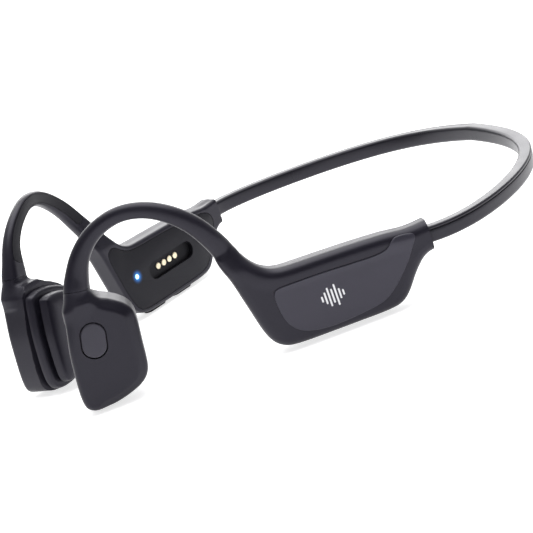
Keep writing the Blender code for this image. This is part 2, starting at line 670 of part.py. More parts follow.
def ferrule(side):
    """Crimp that holds the neckband's wire in the end of the housing."""
    line = band_line(side, 400)
    lead = directions(line)[0]
    start = line[0] - lead * (SLEEVE_DEPTH + 0.5)
    inner = BAND_WIRE + GAP
    profile = ((-3.4, inner), (-3.4, 1.4), (0.0, 1.4), (0.0, inner))
    finish(side + "_band_ferrule", turned(start, lead, profile, 10, annular=True), "steel")


def build():
    clear_scene()
    for side in ("left", "right"):
        housing_shell(side)
        trim_plate(side)
        neckband(side)
        ferrule(side)
        hook(side)
        pod_outer(side)
        pod_inner(side)
        pod_pad(side)
        transducer(side)
    left_inner_parts()
    right_inner_parts()
    multifunction_button()
    volume_buttons()


build()
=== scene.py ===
"""Looks of the bone conduction headphones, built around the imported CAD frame."""

import math

import bmesh
import bpy
import numpy as np
from mathutils import Matrix, Vector
from mathutils.geometry import delaunay_2d_cdt


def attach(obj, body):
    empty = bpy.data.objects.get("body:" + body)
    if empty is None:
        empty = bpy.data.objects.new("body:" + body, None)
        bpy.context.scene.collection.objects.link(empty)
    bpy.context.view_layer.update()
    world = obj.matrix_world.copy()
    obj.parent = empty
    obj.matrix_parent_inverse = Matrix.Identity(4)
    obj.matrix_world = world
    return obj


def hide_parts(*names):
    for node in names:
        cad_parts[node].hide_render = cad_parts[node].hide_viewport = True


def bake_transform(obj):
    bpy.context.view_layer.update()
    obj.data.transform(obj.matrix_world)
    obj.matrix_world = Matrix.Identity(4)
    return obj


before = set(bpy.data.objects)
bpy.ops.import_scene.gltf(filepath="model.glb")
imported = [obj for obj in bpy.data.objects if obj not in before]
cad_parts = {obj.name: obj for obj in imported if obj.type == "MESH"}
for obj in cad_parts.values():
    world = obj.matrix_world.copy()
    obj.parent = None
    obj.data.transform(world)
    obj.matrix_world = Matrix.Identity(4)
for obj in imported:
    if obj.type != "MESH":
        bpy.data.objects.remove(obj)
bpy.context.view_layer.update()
scene = bpy.context.scene

MM = 0.001
ORIGIN = np.array([0.0, 70.42, -1.5])  # of the part's frame, in drawing millimetres

# ------------------------------------------------------------------ drawing


def metres(points, side="left"):
    """From drawing millimetres of the left side to metres in the part's frame, on either side."""
    p = (np.asarray(points, float) - ORIGIN) * MM
    if side == "right":
        p = p * (-1.0, 1.0, 1.0)
    return p


def catmull(points, closed=False, per=16):
    p = np.array(points, float)
    q = np.vstack([p[-1:], p, p[:2]]) if closed else np.vstack([2 * p[0] - p[1], p, 2 * p[-1] - p[-2]])
    t = (np.arange(per) / per)[:, None]
    out = []
    for i in range(1, len(q) - 2):
        p0, p1, p2, p3 = q[i - 1 : i + 3]
        out.append(0.5 * (2 * p1 + (p2 - p0) * t + (2 * p0 - 5 * p1 + 4 * p2 - p3) * t**2 + (3 * p1 - p0 - 3 * p2 + p3) * t**3))
    out = np.vstack(out)
    return out if closed else np.vstack([out, q[-2:-1]])


def even(line, count, closed=False):
    if closed:
        line = np.vstack([line, line[:1]])
    s = np.concatenate([[0], np.cumsum(np.linalg.norm(np.diff(line, axis=0), axis=1))])
    t = np.linspace(0, s[-1], count + closed)
    out = np.stack([np.interp(t, s, line[:, k]) for k in range(line.shape[1])], 1)
    return out[:-1] if closed else out


def smoothed_loop(points, count, rounds):
    """A closed curve through the points, with even spacing, eased so that light runs smoothly along it."""
    loop = even(catmull(points, True), count, True)
    for _ in range(rounds):
        loop = 0.5 * loop + 0.25 * (np.roll(loop, 1, 0) + np.roll(loop, -1, 0))
    return loop


def smoothed_line(points, count, rounds):
    line = even(catmull(points), count)
    for _ in range(rounds):
        line[1:-1] = 0.5 * line[1:-1] + 0.25 * (line[2:] + line[:-2])
    return line


def inset(loop, distance):
    nxt, prv = np.roll(loop, -1, 0), np.roll(loop, 1, 0)
    d = nxt - prv
    d /= np.linalg.norm(d, axis=1)[:, None]
    area = (loop[:, 0] * nxt[:, 1] - nxt[:, 0] * loop[:, 1]).sum()
    return loop + np.stack([-d[:, 1], d[:, 0]], 1) * distance * (1 if area > 0 else -1)


def shrunk(loop, distance):
    """The loop moved inwards along its distance field, so that tight corners never fold over."""
    field = Flat(loop, 1.5, 0.1)
    p = loop.copy()
    for k in range(24):
        want = -distance * (k + 1) / 24
        e = 0.15
        gx = (field(p[:, 0] + e, p[:, 1]) - field(p[:, 0] - e, p[:, 1])) / (2 * e)
        gy = (field(p[:, 0], p[:, 1] + e) - field(p[:, 0], p[:, 1] - e)) / (2 * e)
        g = np.maximum(gx * gx + gy * gy, 0.3)
        step = (field(p[:, 0], p[:, 1]) - want) / g
        p = p - np.stack([gx, gy], 1) * step[:, None]
        p = 0.5 * p + 0.25 * (np.roll(p, 1, 0) + np.roll(p, -1, 0))
    return even(p, len(loop), True)


def stadium(middle, length, width, lean=0.0, per_end=28):
    a = math.radians(lean)
    run = (length - width) / 2
    out = []
    for end in (1, -1):
        for k in range(per_end):
            t = math.pi * k / (per_end - 1) + (0 if end == 1 else math.pi)
            x, y = width / 2 * math.cos(t), width / 2 * math.sin(t) + end * run
            out.append((middle[0] + x * math.cos(a) + y * math.sin(a), middle[1] - x * math.sin(a) + y * math.cos(a)))
    return np.array(out)


class Plane:
    """Upright working plane: along it (u), outwards (n) and up (z)."""

    def __init__(self, foot, turn):
        a = math.radians(turn)
        self.foot = np.array(foot, float)
        self.along = np.array([math.sin(a), math.cos(a), 0.0])
        self.out = np.array([math.cos(a), -math.sin(a), 0.0])

    def at(self, u, n, z):
        u, n, z = np.broadcast_arrays(np.asarray(u, float), np.asarray(n, float), np.asarray(z, float))
        p = self.foot + u[..., None] * self.along + n[..., None] * self.out
        p[..., 2] += z
        return p

    def local(self, p):
        d = p - self.foot
        return d @ self.along, d @ self.out, d[:, 2]


HOUSING = Plane((42.22, 43.3, 0.0), 21.6)
POD = Plane((18.0, -0.6, 0.0), 24.0)

HOUSING_OUTLINE = (
    (-8.9, 26.9), (-7.0, 19.5), (-5.0, 10.9), (-3.8, 5.9), (-2.2, 2.2), (0.6, 0.0), (4.8, -0.6),
    (12.0, -0.7), (20.0, -0.7), (27.0, -0.65), (31.3, 0.0), (34.1, 2.2), (36.9, 5.9), (39.8, 8.9),
    (42.4, 10.0), (46.5, 10.2), (47.5, 14.0), (46.5, 17.9), (42.1, 17.6), (37.5, 17.4), (32.0, 18.1), (24.3, 18.6),
    (16.3, 18.9), (9.0, 19.1), (4.4, 19.4), (1.3, 20.7), (-0.8, 22.9), (-2.4, 25.6), (-3.96, 28.4),
)
HOUSING_END = 42.85  # the flat face where the neckband leaves
CAVITY_OUTLINE = (
    (-3.2, 15.6), (-2.6, 10.9), (-1.6, 6.0), (0.2, 2.4), (3.0, 1.5), (16.0, 1.3), (28.0, 1.5),
    (32.2, 3.2), (35.4, 7.2), (38.3, 10.6), (38.8, 13.0), (37.0, 15.2), (30.0, 16.1), (16.0, 16.9),
    (6.0, 17.1), (0.0, 17.3),
)
COVER_OUTLINE = (
    (-5.6, 19.6), (-4.2, 11.4), (-2.9, 6.0), (-0.9, 2.0), (2.6, 0.75), (14.0, 0.6), (26.0, 0.7),
    (30.6, 1.6), (33.6, 4.4), (36.4, 8.3), (38.8, 11.2), (38.9, 14.2), (36.0, 16.0), (30.0, 16.8),
    (16.0, 17.6), (8.0, 17.8), (2.5, 18.4), (-0.8, 20.2), (-2.9, 21.6),
)
PLATE_OUTLINE = (
    (1.6, 13.6), (2.6, 14.9), (6.0, 15.1), (14.0, 15.0), (22.0, 14.6), (28.0, 14.4), (31.2, 14.9),
    (33.0, 16.3), (34.6, 17.0), (38.6, 16.4), (39.0, 15.4), (37.9, 13.6), (36.2, 11.0), (34.5, 9.0),
    (31.0, 5.4), (27.0, 2.8), (22.0, 1.9), (15.0, 1.4), (9.6, 1.7), (5.6, 2.9), (2.9, 5.4), (1.7, 9.5),
)
POD_OUTLINE = (
    (3.3, 29.5), (1.9, 25.4), (0.8, 20.5), (-0.3, 15.3), (-0.9, 10.6), (-1.35, 6.0), (-1.4, 3.0),
    (-0.9, 0.7), (0.9, -0.5), (3.5, -0.7), (6.9, -0.4), (11.0, 0.7), (14.0, 2.0), (15.9, 3.7),
    (17.0, 6.3), (17.6, 11.4), (18.2, 16.5), (18.3, 19.5), (17.6, 21.6), (15.8, 23.6), (13.3, 25.3),
    (11.5, 26.7), (10.5, 29.2),
)
INNER_OUTLINE = (
    (2.2, 24.4), (1.1, 20.5), (0.0, 15.3), (-0.6, 10.6), (-1.0, 6.0), (-0.9, 3.0),
    (-0.1, 1.1), (1.4, 0.1), (3.6, -0.2), (6.9, 0.0), (10.9, 1.1), (13.6, 2.4), (15.2, 4.1),
    (16.3, 6.4), (17.2, 11.4), (17.8, 16.5), (17.9, 19.4), (17.1, 21.2), (15.2, 22.8), (12.2, 24.2),
    (9.2, 25.1), (5.6, 25.5), (3.2, 25.1),
)
POD_FACE, POD_SEAM = 2.5, -6.7
BUTTON_MIDDLE, BUTTON_SIZE, BUTTON_LEAN = (6.5, 16.9), (8.9, 6.2), 12.0
SLOT_MIDDLE, SLOT_SIZE = (17.3, 9.1), (19.6, 5.0)
CONTACT_MIDDLE, CONTACT_PITCH = (16.6, 9.35), 2.54
LIGHT = (2.4, 10.4)

HOOK_LINE = (
    (19.94, 5.98, 29.70), (20.35, 7.0, 32.6), (21.7, 8.8, 36.9), (23.4, 11.6, 40.5), (25.9, 15.3, 43.2),
    (29.5, 19.6, 44.6), (33.6, 24.1, 43.9), (37.0, 28.4, 41.2), (39.2, 32.4, 36.9), (40.0, 35.4, 31.9),
    (39.9, 37.4, 27.9),
)
HOOK_HALF_WIDTH = (3.35, 3.0, 2.5, 2.2, 2.05, 2.0, 2.05, 2.2, 2.4, 2.6, 2.75)
HOOK_HALF_THICK = (3.15, 2.7, 2.2, 2.0, 1.95, 1.9, 1.95, 2.05, 2.2, 2.35, 2.5)
HOOK_FOOT, HOOK_FOOT_NORMAL = np.array([19.94, 5.98, 29.7]), np.array([0.04, 0.15, 1.0]) / math.sqrt(1.0241)

# The hook runs on as a ridge along the top of the housing: (along, out, up) and its radius.
RIDGE = (
    ((-5.1, 0.75, 24.3), 2.55), ((-3.0, 1.25, 21.3), 2.4), ((-0.2, 1.7, 18.9), 2.25), ((4.0, 2.05, 17.2), 2.15),
    ((9.0, 2.2, 16.8), 2.1), ((16.2, 2.2, 16.6), 2.1), ((24.2, 2.15, 16.3), 2.1), ((31.9, 1.9, 15.8), 2.1),
    ((37.4, 1.3, 15.1), 2.15), ((42.1, 0.5, 15.0), 2.4), ((47.0, 0.2, 15.0), 2.5),
)

# ------------------------------------------------------------------ distance fields


def signed(points, loop):
    a, e = loop, np.roll(loop, -1, 0) - loop
    b = np.roll(loop, -1, 0)
    ee = (e * e).sum(1)
    out = np.empty(len(points))
    for s in range(0, len(points), 3000):
        p = points[s : s + 3000]
        wx, wy = p[:, 0:1] - a[:, 0], p[:, 1:2] - a[:, 1]
        t = np.clip((wx * e[:, 0] + wy * e[:, 1]) / ee, 0, 1)
        d = ((wx - t * e[:, 0]) ** 2 + (wy - t * e[:, 1]) ** 2).min(1)
        c1, c2, c3 = p[:, 1:2] >= a[:, 1], p[:, 1:2] < b[:, 1], e[:, 0] * wy > e[:, 1] * wx
        inside = ((c1 & c2 & c3) | ~(c1 | c2 | c3)).sum(1) % 2 == 1
        out[s : s + 3000] = np.where(inside, -1, 1) * np.sqrt(d)
    return out


class Flat:
    """Signed distance to a closed outline, kept on a fine grid."""

    def __init__(self, loop, margin=7.0, step=0.2):
        self.lo, self.step = loop.min(0) - margin, step
        n = np.ceil((loop.max(0) + margin - self.lo) / step).astype(int) + 1
        x, y = np.meshgrid(self.lo[0] + step * np.arange(n[0]), self.lo[1] + step * np.arange(n[1]), indexing="ij")
        self.v = signed(np.stack([x.ravel(), y.ravel()], 1), loop).reshape(n)

    def __call__(self, x, y):
        fx, fy = (x - self.lo[0]) / self.step, (y - self.lo[1]) / self.step
        cx, cy = np.clip(fx, 0, self.v.shape[0] - 1.001), np.clip(fy, 0, self.v.shape[1] - 1.001)
        i, j = cx.astype(int), cy.astype(int)
        a, b = cx - i, cy - j
        v = self.v
        d = (v[i, j] * (1 - a) + v[i + 1, j] * a) * (1 - b) + (v[i, j + 1] * (1 - a) + v[i + 1, j + 1] * a) * b
        return d + np.hypot(fx - cx, fy - cy) * self.step


def smin(a, b, k):
    h = np.clip(0.5 + 0.5 * (b - a) / k, 0, 1)
    return b + (a - b) * h - k * h * (1 - h)


def smax(a, b, k):
    return -smin(-a, -b, k)


def ease(t):
    t = np.clip(t, 0, 1)
    return t * t * (3 - 2 * t)


def pillow(d, n, low, high, r_low, r_high):
    """A slab with the outline's distance d, from low to high, its two rims rounded."""
    middle = (low + high) / 2
    r = np.where(n > middle, r_high, r_low)
    qx, qn = d + r, np.where(n > middle, n - high, low - n) + r
    return np.minimum(np.maximum(qx, qn), 0) + np.hypot(np.maximum(qx, 0), np.maximum(qn, 0)) - r


class Tube:
    """A bar of changing oval section along a curve."""

    def __init__(self, line, wide, thick, flat, outs):
        self.line, self.wide, self.thick, self.flat = line, wide, thick, flat
        way = np.gradient(line, axis=0)
        self.way = way / np.linalg.norm(way, axis=1)[:, None]
        out = outs - self.way * (outs * self.way).sum(1)[:, None]
        self.out = out / np.linalg.norm(out, axis=1)[:, None]
        self.broad = np.cross(self.way, self.out)
        self.gap = np.linalg.norm(line[1] - line[0])

    def nearest(self, p):
        best = np.empty(len(p), int)
        l = self.line.astype(np.float32)
        ll = (l * l).sum(1)
        for s in range(0, len(p), 20000):
            q = p[s : s + 20000].astype(np.float32)
            best[s : s + 20000] = (ll - 2 * q @ l.T).argmin(1)
        return best

    def __call__(self, p):
        i = self.nearest(p)
        d = p - self.line[i]
        f = np.clip((d * self.way[i]).sum(1) / self.gap, -0.75, 0.75)
        j = np.clip(i + np.where(f >= 0, 1, -1), 0, len(self.line) - 1)
        w = np.abs(f)[:, None]

        def mix(v):
            return v[i] * (1 - (w if v.ndim == 2 else w[:, 0])) + v[j] * (w if v.ndim == 2 else w[:, 0])

        c = p - mix(self.line)
        way = mix(self.way)
        x, y, along = (c * mix(self.broad)).sum(1), (c * mix(self.out)).sum(1), (c * way).sum(1)
        a, b = mix(self.wide), mix(self.thick)
        k0 = (np.abs(x / a) ** 2.25 + np.abs(y / b) ** 2.25) ** (1 / 2.25)
        k1 = np.hypot(x / a**2, y / b**2)
        f = np.where(k0 > 0.05, k0 * (k0 - 1) / np.maximum(k1, 1e-6), -np.minimum(a, b))
        f = smax(f, -(y + b - mix(self.flat)), 0.35)
        return np.where(np.abs(along) > 0.6, np.hypot(np.maximum(f, 0), along), f)


def make_tube():
    hook = np.array(HOOK_LINE)
    ridge = np.array([r[0] for r in RIDGE])
    ridge_world = HOUSING.at(ridge[:, 0], ridge[:, 1], ridge[:, 2])
    down = np.array([[18.9, 4.2, 22.6], [19.5, 5.0, 26.2]])
    points = np.vstack([down, hook, ridge_world])
    wide = np.array([2.9, 3.3, *HOOK_HALF_WIDTH, *[r[1] for r in RIDGE]])
    thick = np.array([2.4, 2.95, *HOOK_HALF_THICK, *[r[1] for r in RIDGE]])
    flat = np.array([0.0, 0.1, 0.4] + [0.5] * 9 + [0.4] + [0.15] + [0.0] * (len(RIDGE) - 1))
    hook_out = np.array([math.cos(math.radians(30)), -math.sin(math.radians(30)), 0.0])
    outs = np.array([POD.out] * 2 + [hook_out] * len(hook) + [HOUSING.out] * len(RIDGE))
    table = np.hstack([points, wide[:, None], thick[:, None], flat[:, None], outs])
    dense = catmull(table, per=16)
    s = np.concatenate([[0], np.cumsum(np.linalg.norm(np.diff(dense[:, :3], axis=0), axis=1))])
    t = np.linspace(0, s[-1], 640)
    rows = np.stack([np.interp(t, s, dense[:, k]) for k in range(dense.shape[1])], 1)
    for _ in range(60):
        rows[1:-1] = 0.5 * rows[1:-1] + 0.25 * (rows[2:] + rows[:-2])
    return Tube(rows[:, :3], rows[:, 3], rows[:, 4], np.clip(rows[:, 5], 0, 1), rows[:, 6:9])


TUBE = make_tube()
HOUSING_FLAT = Flat(inset(smoothed_loop(HOUSING_OUTLINE, 420, 10), 0.12))
POD_FLAT = Flat(smoothed_loop(POD_OUTLINE, 300, 6))
BODY_OUT = 3.95


def housing_field(p, tube):
    u, n, z = HOUSING.local(p)
    d = HOUSING_FLAT(u, z)
    t = ease((z - 21.7) / 6.2)
    m = (n - 0.3 * t) / (1 - 0.32 * t)
    # the rear lower flank falls back from the plate towards its edge
    low = 3.7 + (BODY_OUT - 3.7) * 1.0
    body = pillow(d, m, -3.7, low, 1.0, 2.5)
    k = 1.5 - 1.0 * ease((z - 21.0) / 5.0)
    return smin(body, tube, k)


def pod_field(p, tube):
    u, n, z = POD.local(p)
    d = POD_FLAT(u, z) + 2.8 * ease((z - 25.2) / 4.4)
    t = ease((z - 22.5) / 6.0)
    m = np.where(n < 0, n / (1 - t * (1 - 4.15 / 6.7)), n)
    # the bevel round the outer face is wide at the rear and the bottom, and closes up at the front
    front = ease((5.0 - u) / 4.5)
    bevel = 0.56 * (d + 0.55 - 0.75 * front) + 0.83 * (m - 1.25 - 0.35 * front)
    shell = smax(smax(d, bevel, 0.7), m - POD_FACE, 0.28)
    shell = np.maximum(shell, -9.5 - m)
    # the neck's back stays free of the inner shell
    k = 1.6 + 1.2 * ease((z - 21.5) / 5.0)
    return smin(shell, tube, k)


def body_field(p):
    tube = TUBE(p)
    h = housing_field(p, tube)
    q = pod_field(p, tube)
    return np.where(p[:, 1] > 24.0, h, q)


# ------------------------------------------------------------------ meshing


def mesh_field(field, low, high, step):
    """Quads over the field's zero surface, drawn onto it."""
    low, high = np.array(low, float), np.array(high, float)
    coarse = 4 * step
    nc = np.ceil((high - low) / coarse).astype(int) + 1
    axes = [low[k] + coarse * np.arange(nc[k]) for k in range(3)]
    grid = np.stack(np.meshgrid(*axes, indexing="ij"), -1).reshape(-1, 3)
    vc = field(grid).reshape(nc)
    near = np.abs(vc) < coarse * 1.8
    for axis in range(3):  # one cell wider on each side
        near = near | np.roll(near, 1, axis) | np.roll(near, -1, axis)
    nf = (nc - 1) * 4 + 1
    i = [np.minimum((np.arange(nf[k]) + 2) // 4, nc[k] - 1) for k in range(3)]
    v = vc[np.ix_(*i)].copy()
    mask = near[np.ix_(*i)]
    where = np.argwhere(mask)
    v[mask] = field(low + where * step)
    s = v < 0
    corners = [(a, b, c) for a in (0, 1) for b in (0, 1) for c in (0, 1)]
    count = np.zeros(np.array(s.shape) - 1, np.int8)
    for a, b, c in corners:
        count += s[a : s.shape[0] - 1 + a, b : s.shape[1] - 1 + b, c : s.shape[2] - 1 + c]
    cells_mask = (count > 0) & (count < 8)
    cells = np.argwhere(cells_mask)
    index = np.full(cells_mask.shape, -1, np.int64)
    index[cells_mask] = np.arange(len(cells))
    total, crossings = np.zeros((len(cells), 3)), np.zeros(len(cells))
    for a in corners:
        for axis in range(3):
            if a[axis]:
                continue
            b = list(a)
            b[axis] = 1
            pa, pb = cells + a, cells + b
            va, vb = v[tuple(pa.T)], v[tuple(pb.T)]
            cross = (va < 0) != (vb < 0)
            t = np.where(cross, va / np.where(cross, va - vb, 1), 0)
            point = np.array(a, float) + np.outer(t, np.array(b) - np.array(a))
            total += np.where(cross[:, None], point, 0)
            crossings += cross
    points = low + step * (cells + total / crossings[:, None])
    faces = []
    for axis in range(3):
        o1, o2 = (axis + 1) % 3, (axis + 2) % 3
        first = [slice(None)] * 3
        second = [slice(None)] * 3
        first[axis], second[axis] = slice(0, -1), slice(1, None)
        a, b = s[tuple(first)], s[tuple(second)]
        at = np.argwhere(a != b)
        at = at[(at[:, o1] > 0) & (at[:, o2] > 0) & (at[:, o1] < index.shape[o1]) & (at[:, o2] < index.shape[o2])]
        sign = a[tuple(at.T)]
        quad = []
        for d1, d2 in ((-1, -1), (0, -1), (0, 0), (-1, 0)):
            c = at.copy()
            c[:, o1] += d1
            c[:, o2] += d2
            quad.append(index[tuple(c.T)])
        quad = np.stack(quad, 1)
        quad[~sign] = quad[~sign][:, ::-1]
        faces.append(quad)
    faces = np.vstack(faces)
    faces = faces[(faces >= 0).all(1)]
    for _ in range(2):
        f = field(points)
        g = np.empty_like(points)
        e = 0.02
        for k in range(3):
            dp = np.zeros(3)
            dp[k] = e
            g[:, k] = (field(points + dp) - field(points - dp)) / (2 * e)
        gg = np.maximum((g * g).sum(1), 0.2)
        move = -g * (f / gg)[:, None]
        length = np.linalg.norm(move, axis=1)
        points += move * np.minimum(1, 0.5 * step / np.maximum(length, 1e-9))[:, None]
    return points, faces


def new_object(name, verts, faces, smooth=35.0):
    """Verts are in metres in the part's frame."""
    data = bpy.data.meshes.new(name)
    verts = np.asarray(verts, np.float32)
    data.from_pydata(verts.tolist(), [], [list(map(int, f)) for f in faces])
    data.validate()
    obj = bpy.data.objects.new(name, data)
    scene.collection.objects.link(obj)
    mesh = bmesh.new()
    mesh.from_mesh(data)
    bmesh.ops.recalc_face_normals(mesh, faces=mesh.faces[:])
    mesh.to_mesh(data)
    mesh.free()
    shade(obj, smooth)
    return obj


def shade(obj, smooth=35.0):
    obj.data.shade_smooth()
    obj.data.set_sharp_from_angle(angle=math.radians(smooth))


def loft(name, rings, side="left", closed=False, smooth=35.0):
    """A closed skin over rings, given in drawing millimetres of the left side."""
    rings = [np.asarray(r) for r in rings]
    n = len(rings[0])
    verts = metres(np.vstack(rings), side)
    faces = []
    pairs = [(k, k + 1) for k in range(len(rings) - 1)]
    if closed:
        pairs.append((len(rings) - 1, 0))
    for a, b in pairs:
        for i in range(n):
            faces.append((a * n + i, a * n + (i + 1) % n, b * n + (i + 1) % n, b * n + i))
    if not closed:
        faces.append(tuple(range(n))[::-1])
        faces.append(tuple((len(rings) - 1) * n + i for i in range(n)))
    return new_object(name, verts, faces, smooth)


def slab(name, plane, loop, levels, side="left", depth=None, smooth=35.0):
    """A flat piece: levels are (out, inset)."""
    rings = []
    for out, d in levels:
        l = (inset(loop, d) if abs(d) < 0.5 else shrunk(loop, d)) if d else loop
        n = depth(out, l[:, 1]) if depth else out
        rings.append(plane.at(l[:, 0], n, l[:, 1]))
    return loft(name, rings, side, smooth=smooth)


def turned(name, centre, axis, profile, count=48, side="left", closed=False, smooth=35.0):
    axis = np.asarray(axis, float)
    axis = axis / np.linalg.norm(axis)
    side_way = np.cross(axis, (0.0, 0.0, 1.0) if abs(axis[2]) < 0.9 else (1.0, 0.0, 0.0))
    side_way /= np.linalg.norm(side_way)
    other = np.cross(axis, side_way)
    t = np.linspace(0, 2 * math.pi, count, endpoint=False)
    ring = np.outer(np.cos(t), side_way) + np.outer(np.sin(t), other)
    return loft(name, [centre + axis * a + ring * r for a, r in profile], side, closed, smooth)


def cut(obj, cutter, operation="DIFFERENCE", smooth=35.0):
    modifier = obj.modifiers.new("cut", "BOOLEAN")
    modifier.operation, modifier.solver, modifier.object = operation, "EXACT", cutter
    bpy.context.view_layer.update()
    graph = bpy.context.evaluated_depsgraph_get()
    made = bpy.data.meshes.new_from_object(obj.evaluated_get(graph))
    old = obj.data
    obj.modifiers.clear()
    obj.data = made
    bpy.data.meshes.remove(old)
    gone = cutter.data
    bpy.data.objects.remove(cutter)
    bpy.data.meshes.remove(gone)
    shade(obj, smooth)
    return obj


def cap_open(mesh):
    """Closes each open loop of edges with one flat face."""
    loose = {e for e in mesh.edges if e.is_boundary}
    while loose:
        edge = loose.pop()
        first, at = edge.verts
        loop = [first, at]
        while at is not first:
            nxt = next((e for e in at.link_edges if e in loose), None)
            if nxt is None:
                break
            loose.discard(nxt)
            at = nxt.other_vert(at)
            if at is not first:
                loop.append(at)
        if at is first and len(loop) > 2:
            face = mesh.faces.new(loop)
            face.normal_update()
    bmesh.ops.recalc_face_normals(mesh, faces=mesh.faces[:])


def trimmed(obj, point, normal, smooth=35.0):
    """Keeps what lies behind a plane, given in metres, and closes the cut."""
    mesh = bmesh.new()
    mesh.from_mesh(obj.data)
    geometry = mesh.verts[:] + mesh.edges[:] + mesh.faces[:]
    bmesh.ops.bisect_plane(mesh, geom=geometry, plane_co=point, plane_no=normal, clear_outer=True, dist=1e-8)
    cap_open(mesh)
    mesh.to_mesh(obj.data)
    mesh.free()
    shade(obj, smooth)
    return obj


def patch(name, plane, loop, height, lip, thick, spacing, side, smooth=30.0):
    """A thin piece with the loop's outline that follows a height over the plane: its top at height, its rim broken by lip."""
    count = len(loop)
    rim = inset(loop, lip)
    area = Flat(rim, 1.0, 0.15)
    lo, hi = loop.min(0), loop.max(0)
    inner = []
    rows = int((hi[1] - lo[1]) / (spacing * 0.866)) + 1
    for r in range(rows):
        x = np.arange(lo[0] + (r % 2) * spacing / 2, hi[0], spacing)
        y = np.full_like(x, lo[1] + r * spacing * 0.866)
        keep = area(x, y) < -0.55 * spacing
        inner.append(np.stack([x[keep], y[keep]], 1))
    inner = np.vstack(inner)
    points = np.vstack([rim, inner])
    out = delaunay_2d_cdt([Vector(p) for p in points], [], [list(range(count))], 1, 1e-6)
    flat, faces, origins = out[0], [tuple(f) for f in out[2]], out[3]
    top = np.array([tuple(v) for v in flat])
    h_top = height(top[:, 0], top[:, 1])
    verts = [plane.at(top[:, 0], h_top, top[:, 1])]
    h_rim = height(loop[:, 0], loop[:, 1])
    verts.append(plane.at(loop[:, 0], h_rim - lip, loop[:, 1]))
    verts.append(plane.at(loop[:, 0], h_rim - thick, loop[:, 1]))
    base = len(top)
    where = {}
    for k, origin in enumerate(origins):
        for o in origin:
            if o < count:
                where[o] = k
    for i in range(count):
        j = (i + 1) % count
        faces.append((where[i], where[j], base + j, base + i))
        faces.append((base + i, base + j, base + count + j, base + count + i))
    faces.append(tuple(base + count + i for i in range(count)))
    return new_object(name, metres(np.vstack(verts), side), faces, smooth)


# ------------------------------------------------------------------ materials


def nodes_of(name):
    made = bpy.data.materials.new(name)
    made.use_nodes = True
    tree = made.node_tree
    shader = tree.nodes["Principled BSDF"]
    return made, tree, shader


def link(tree, a, b):
    tree.links.new(a, b)


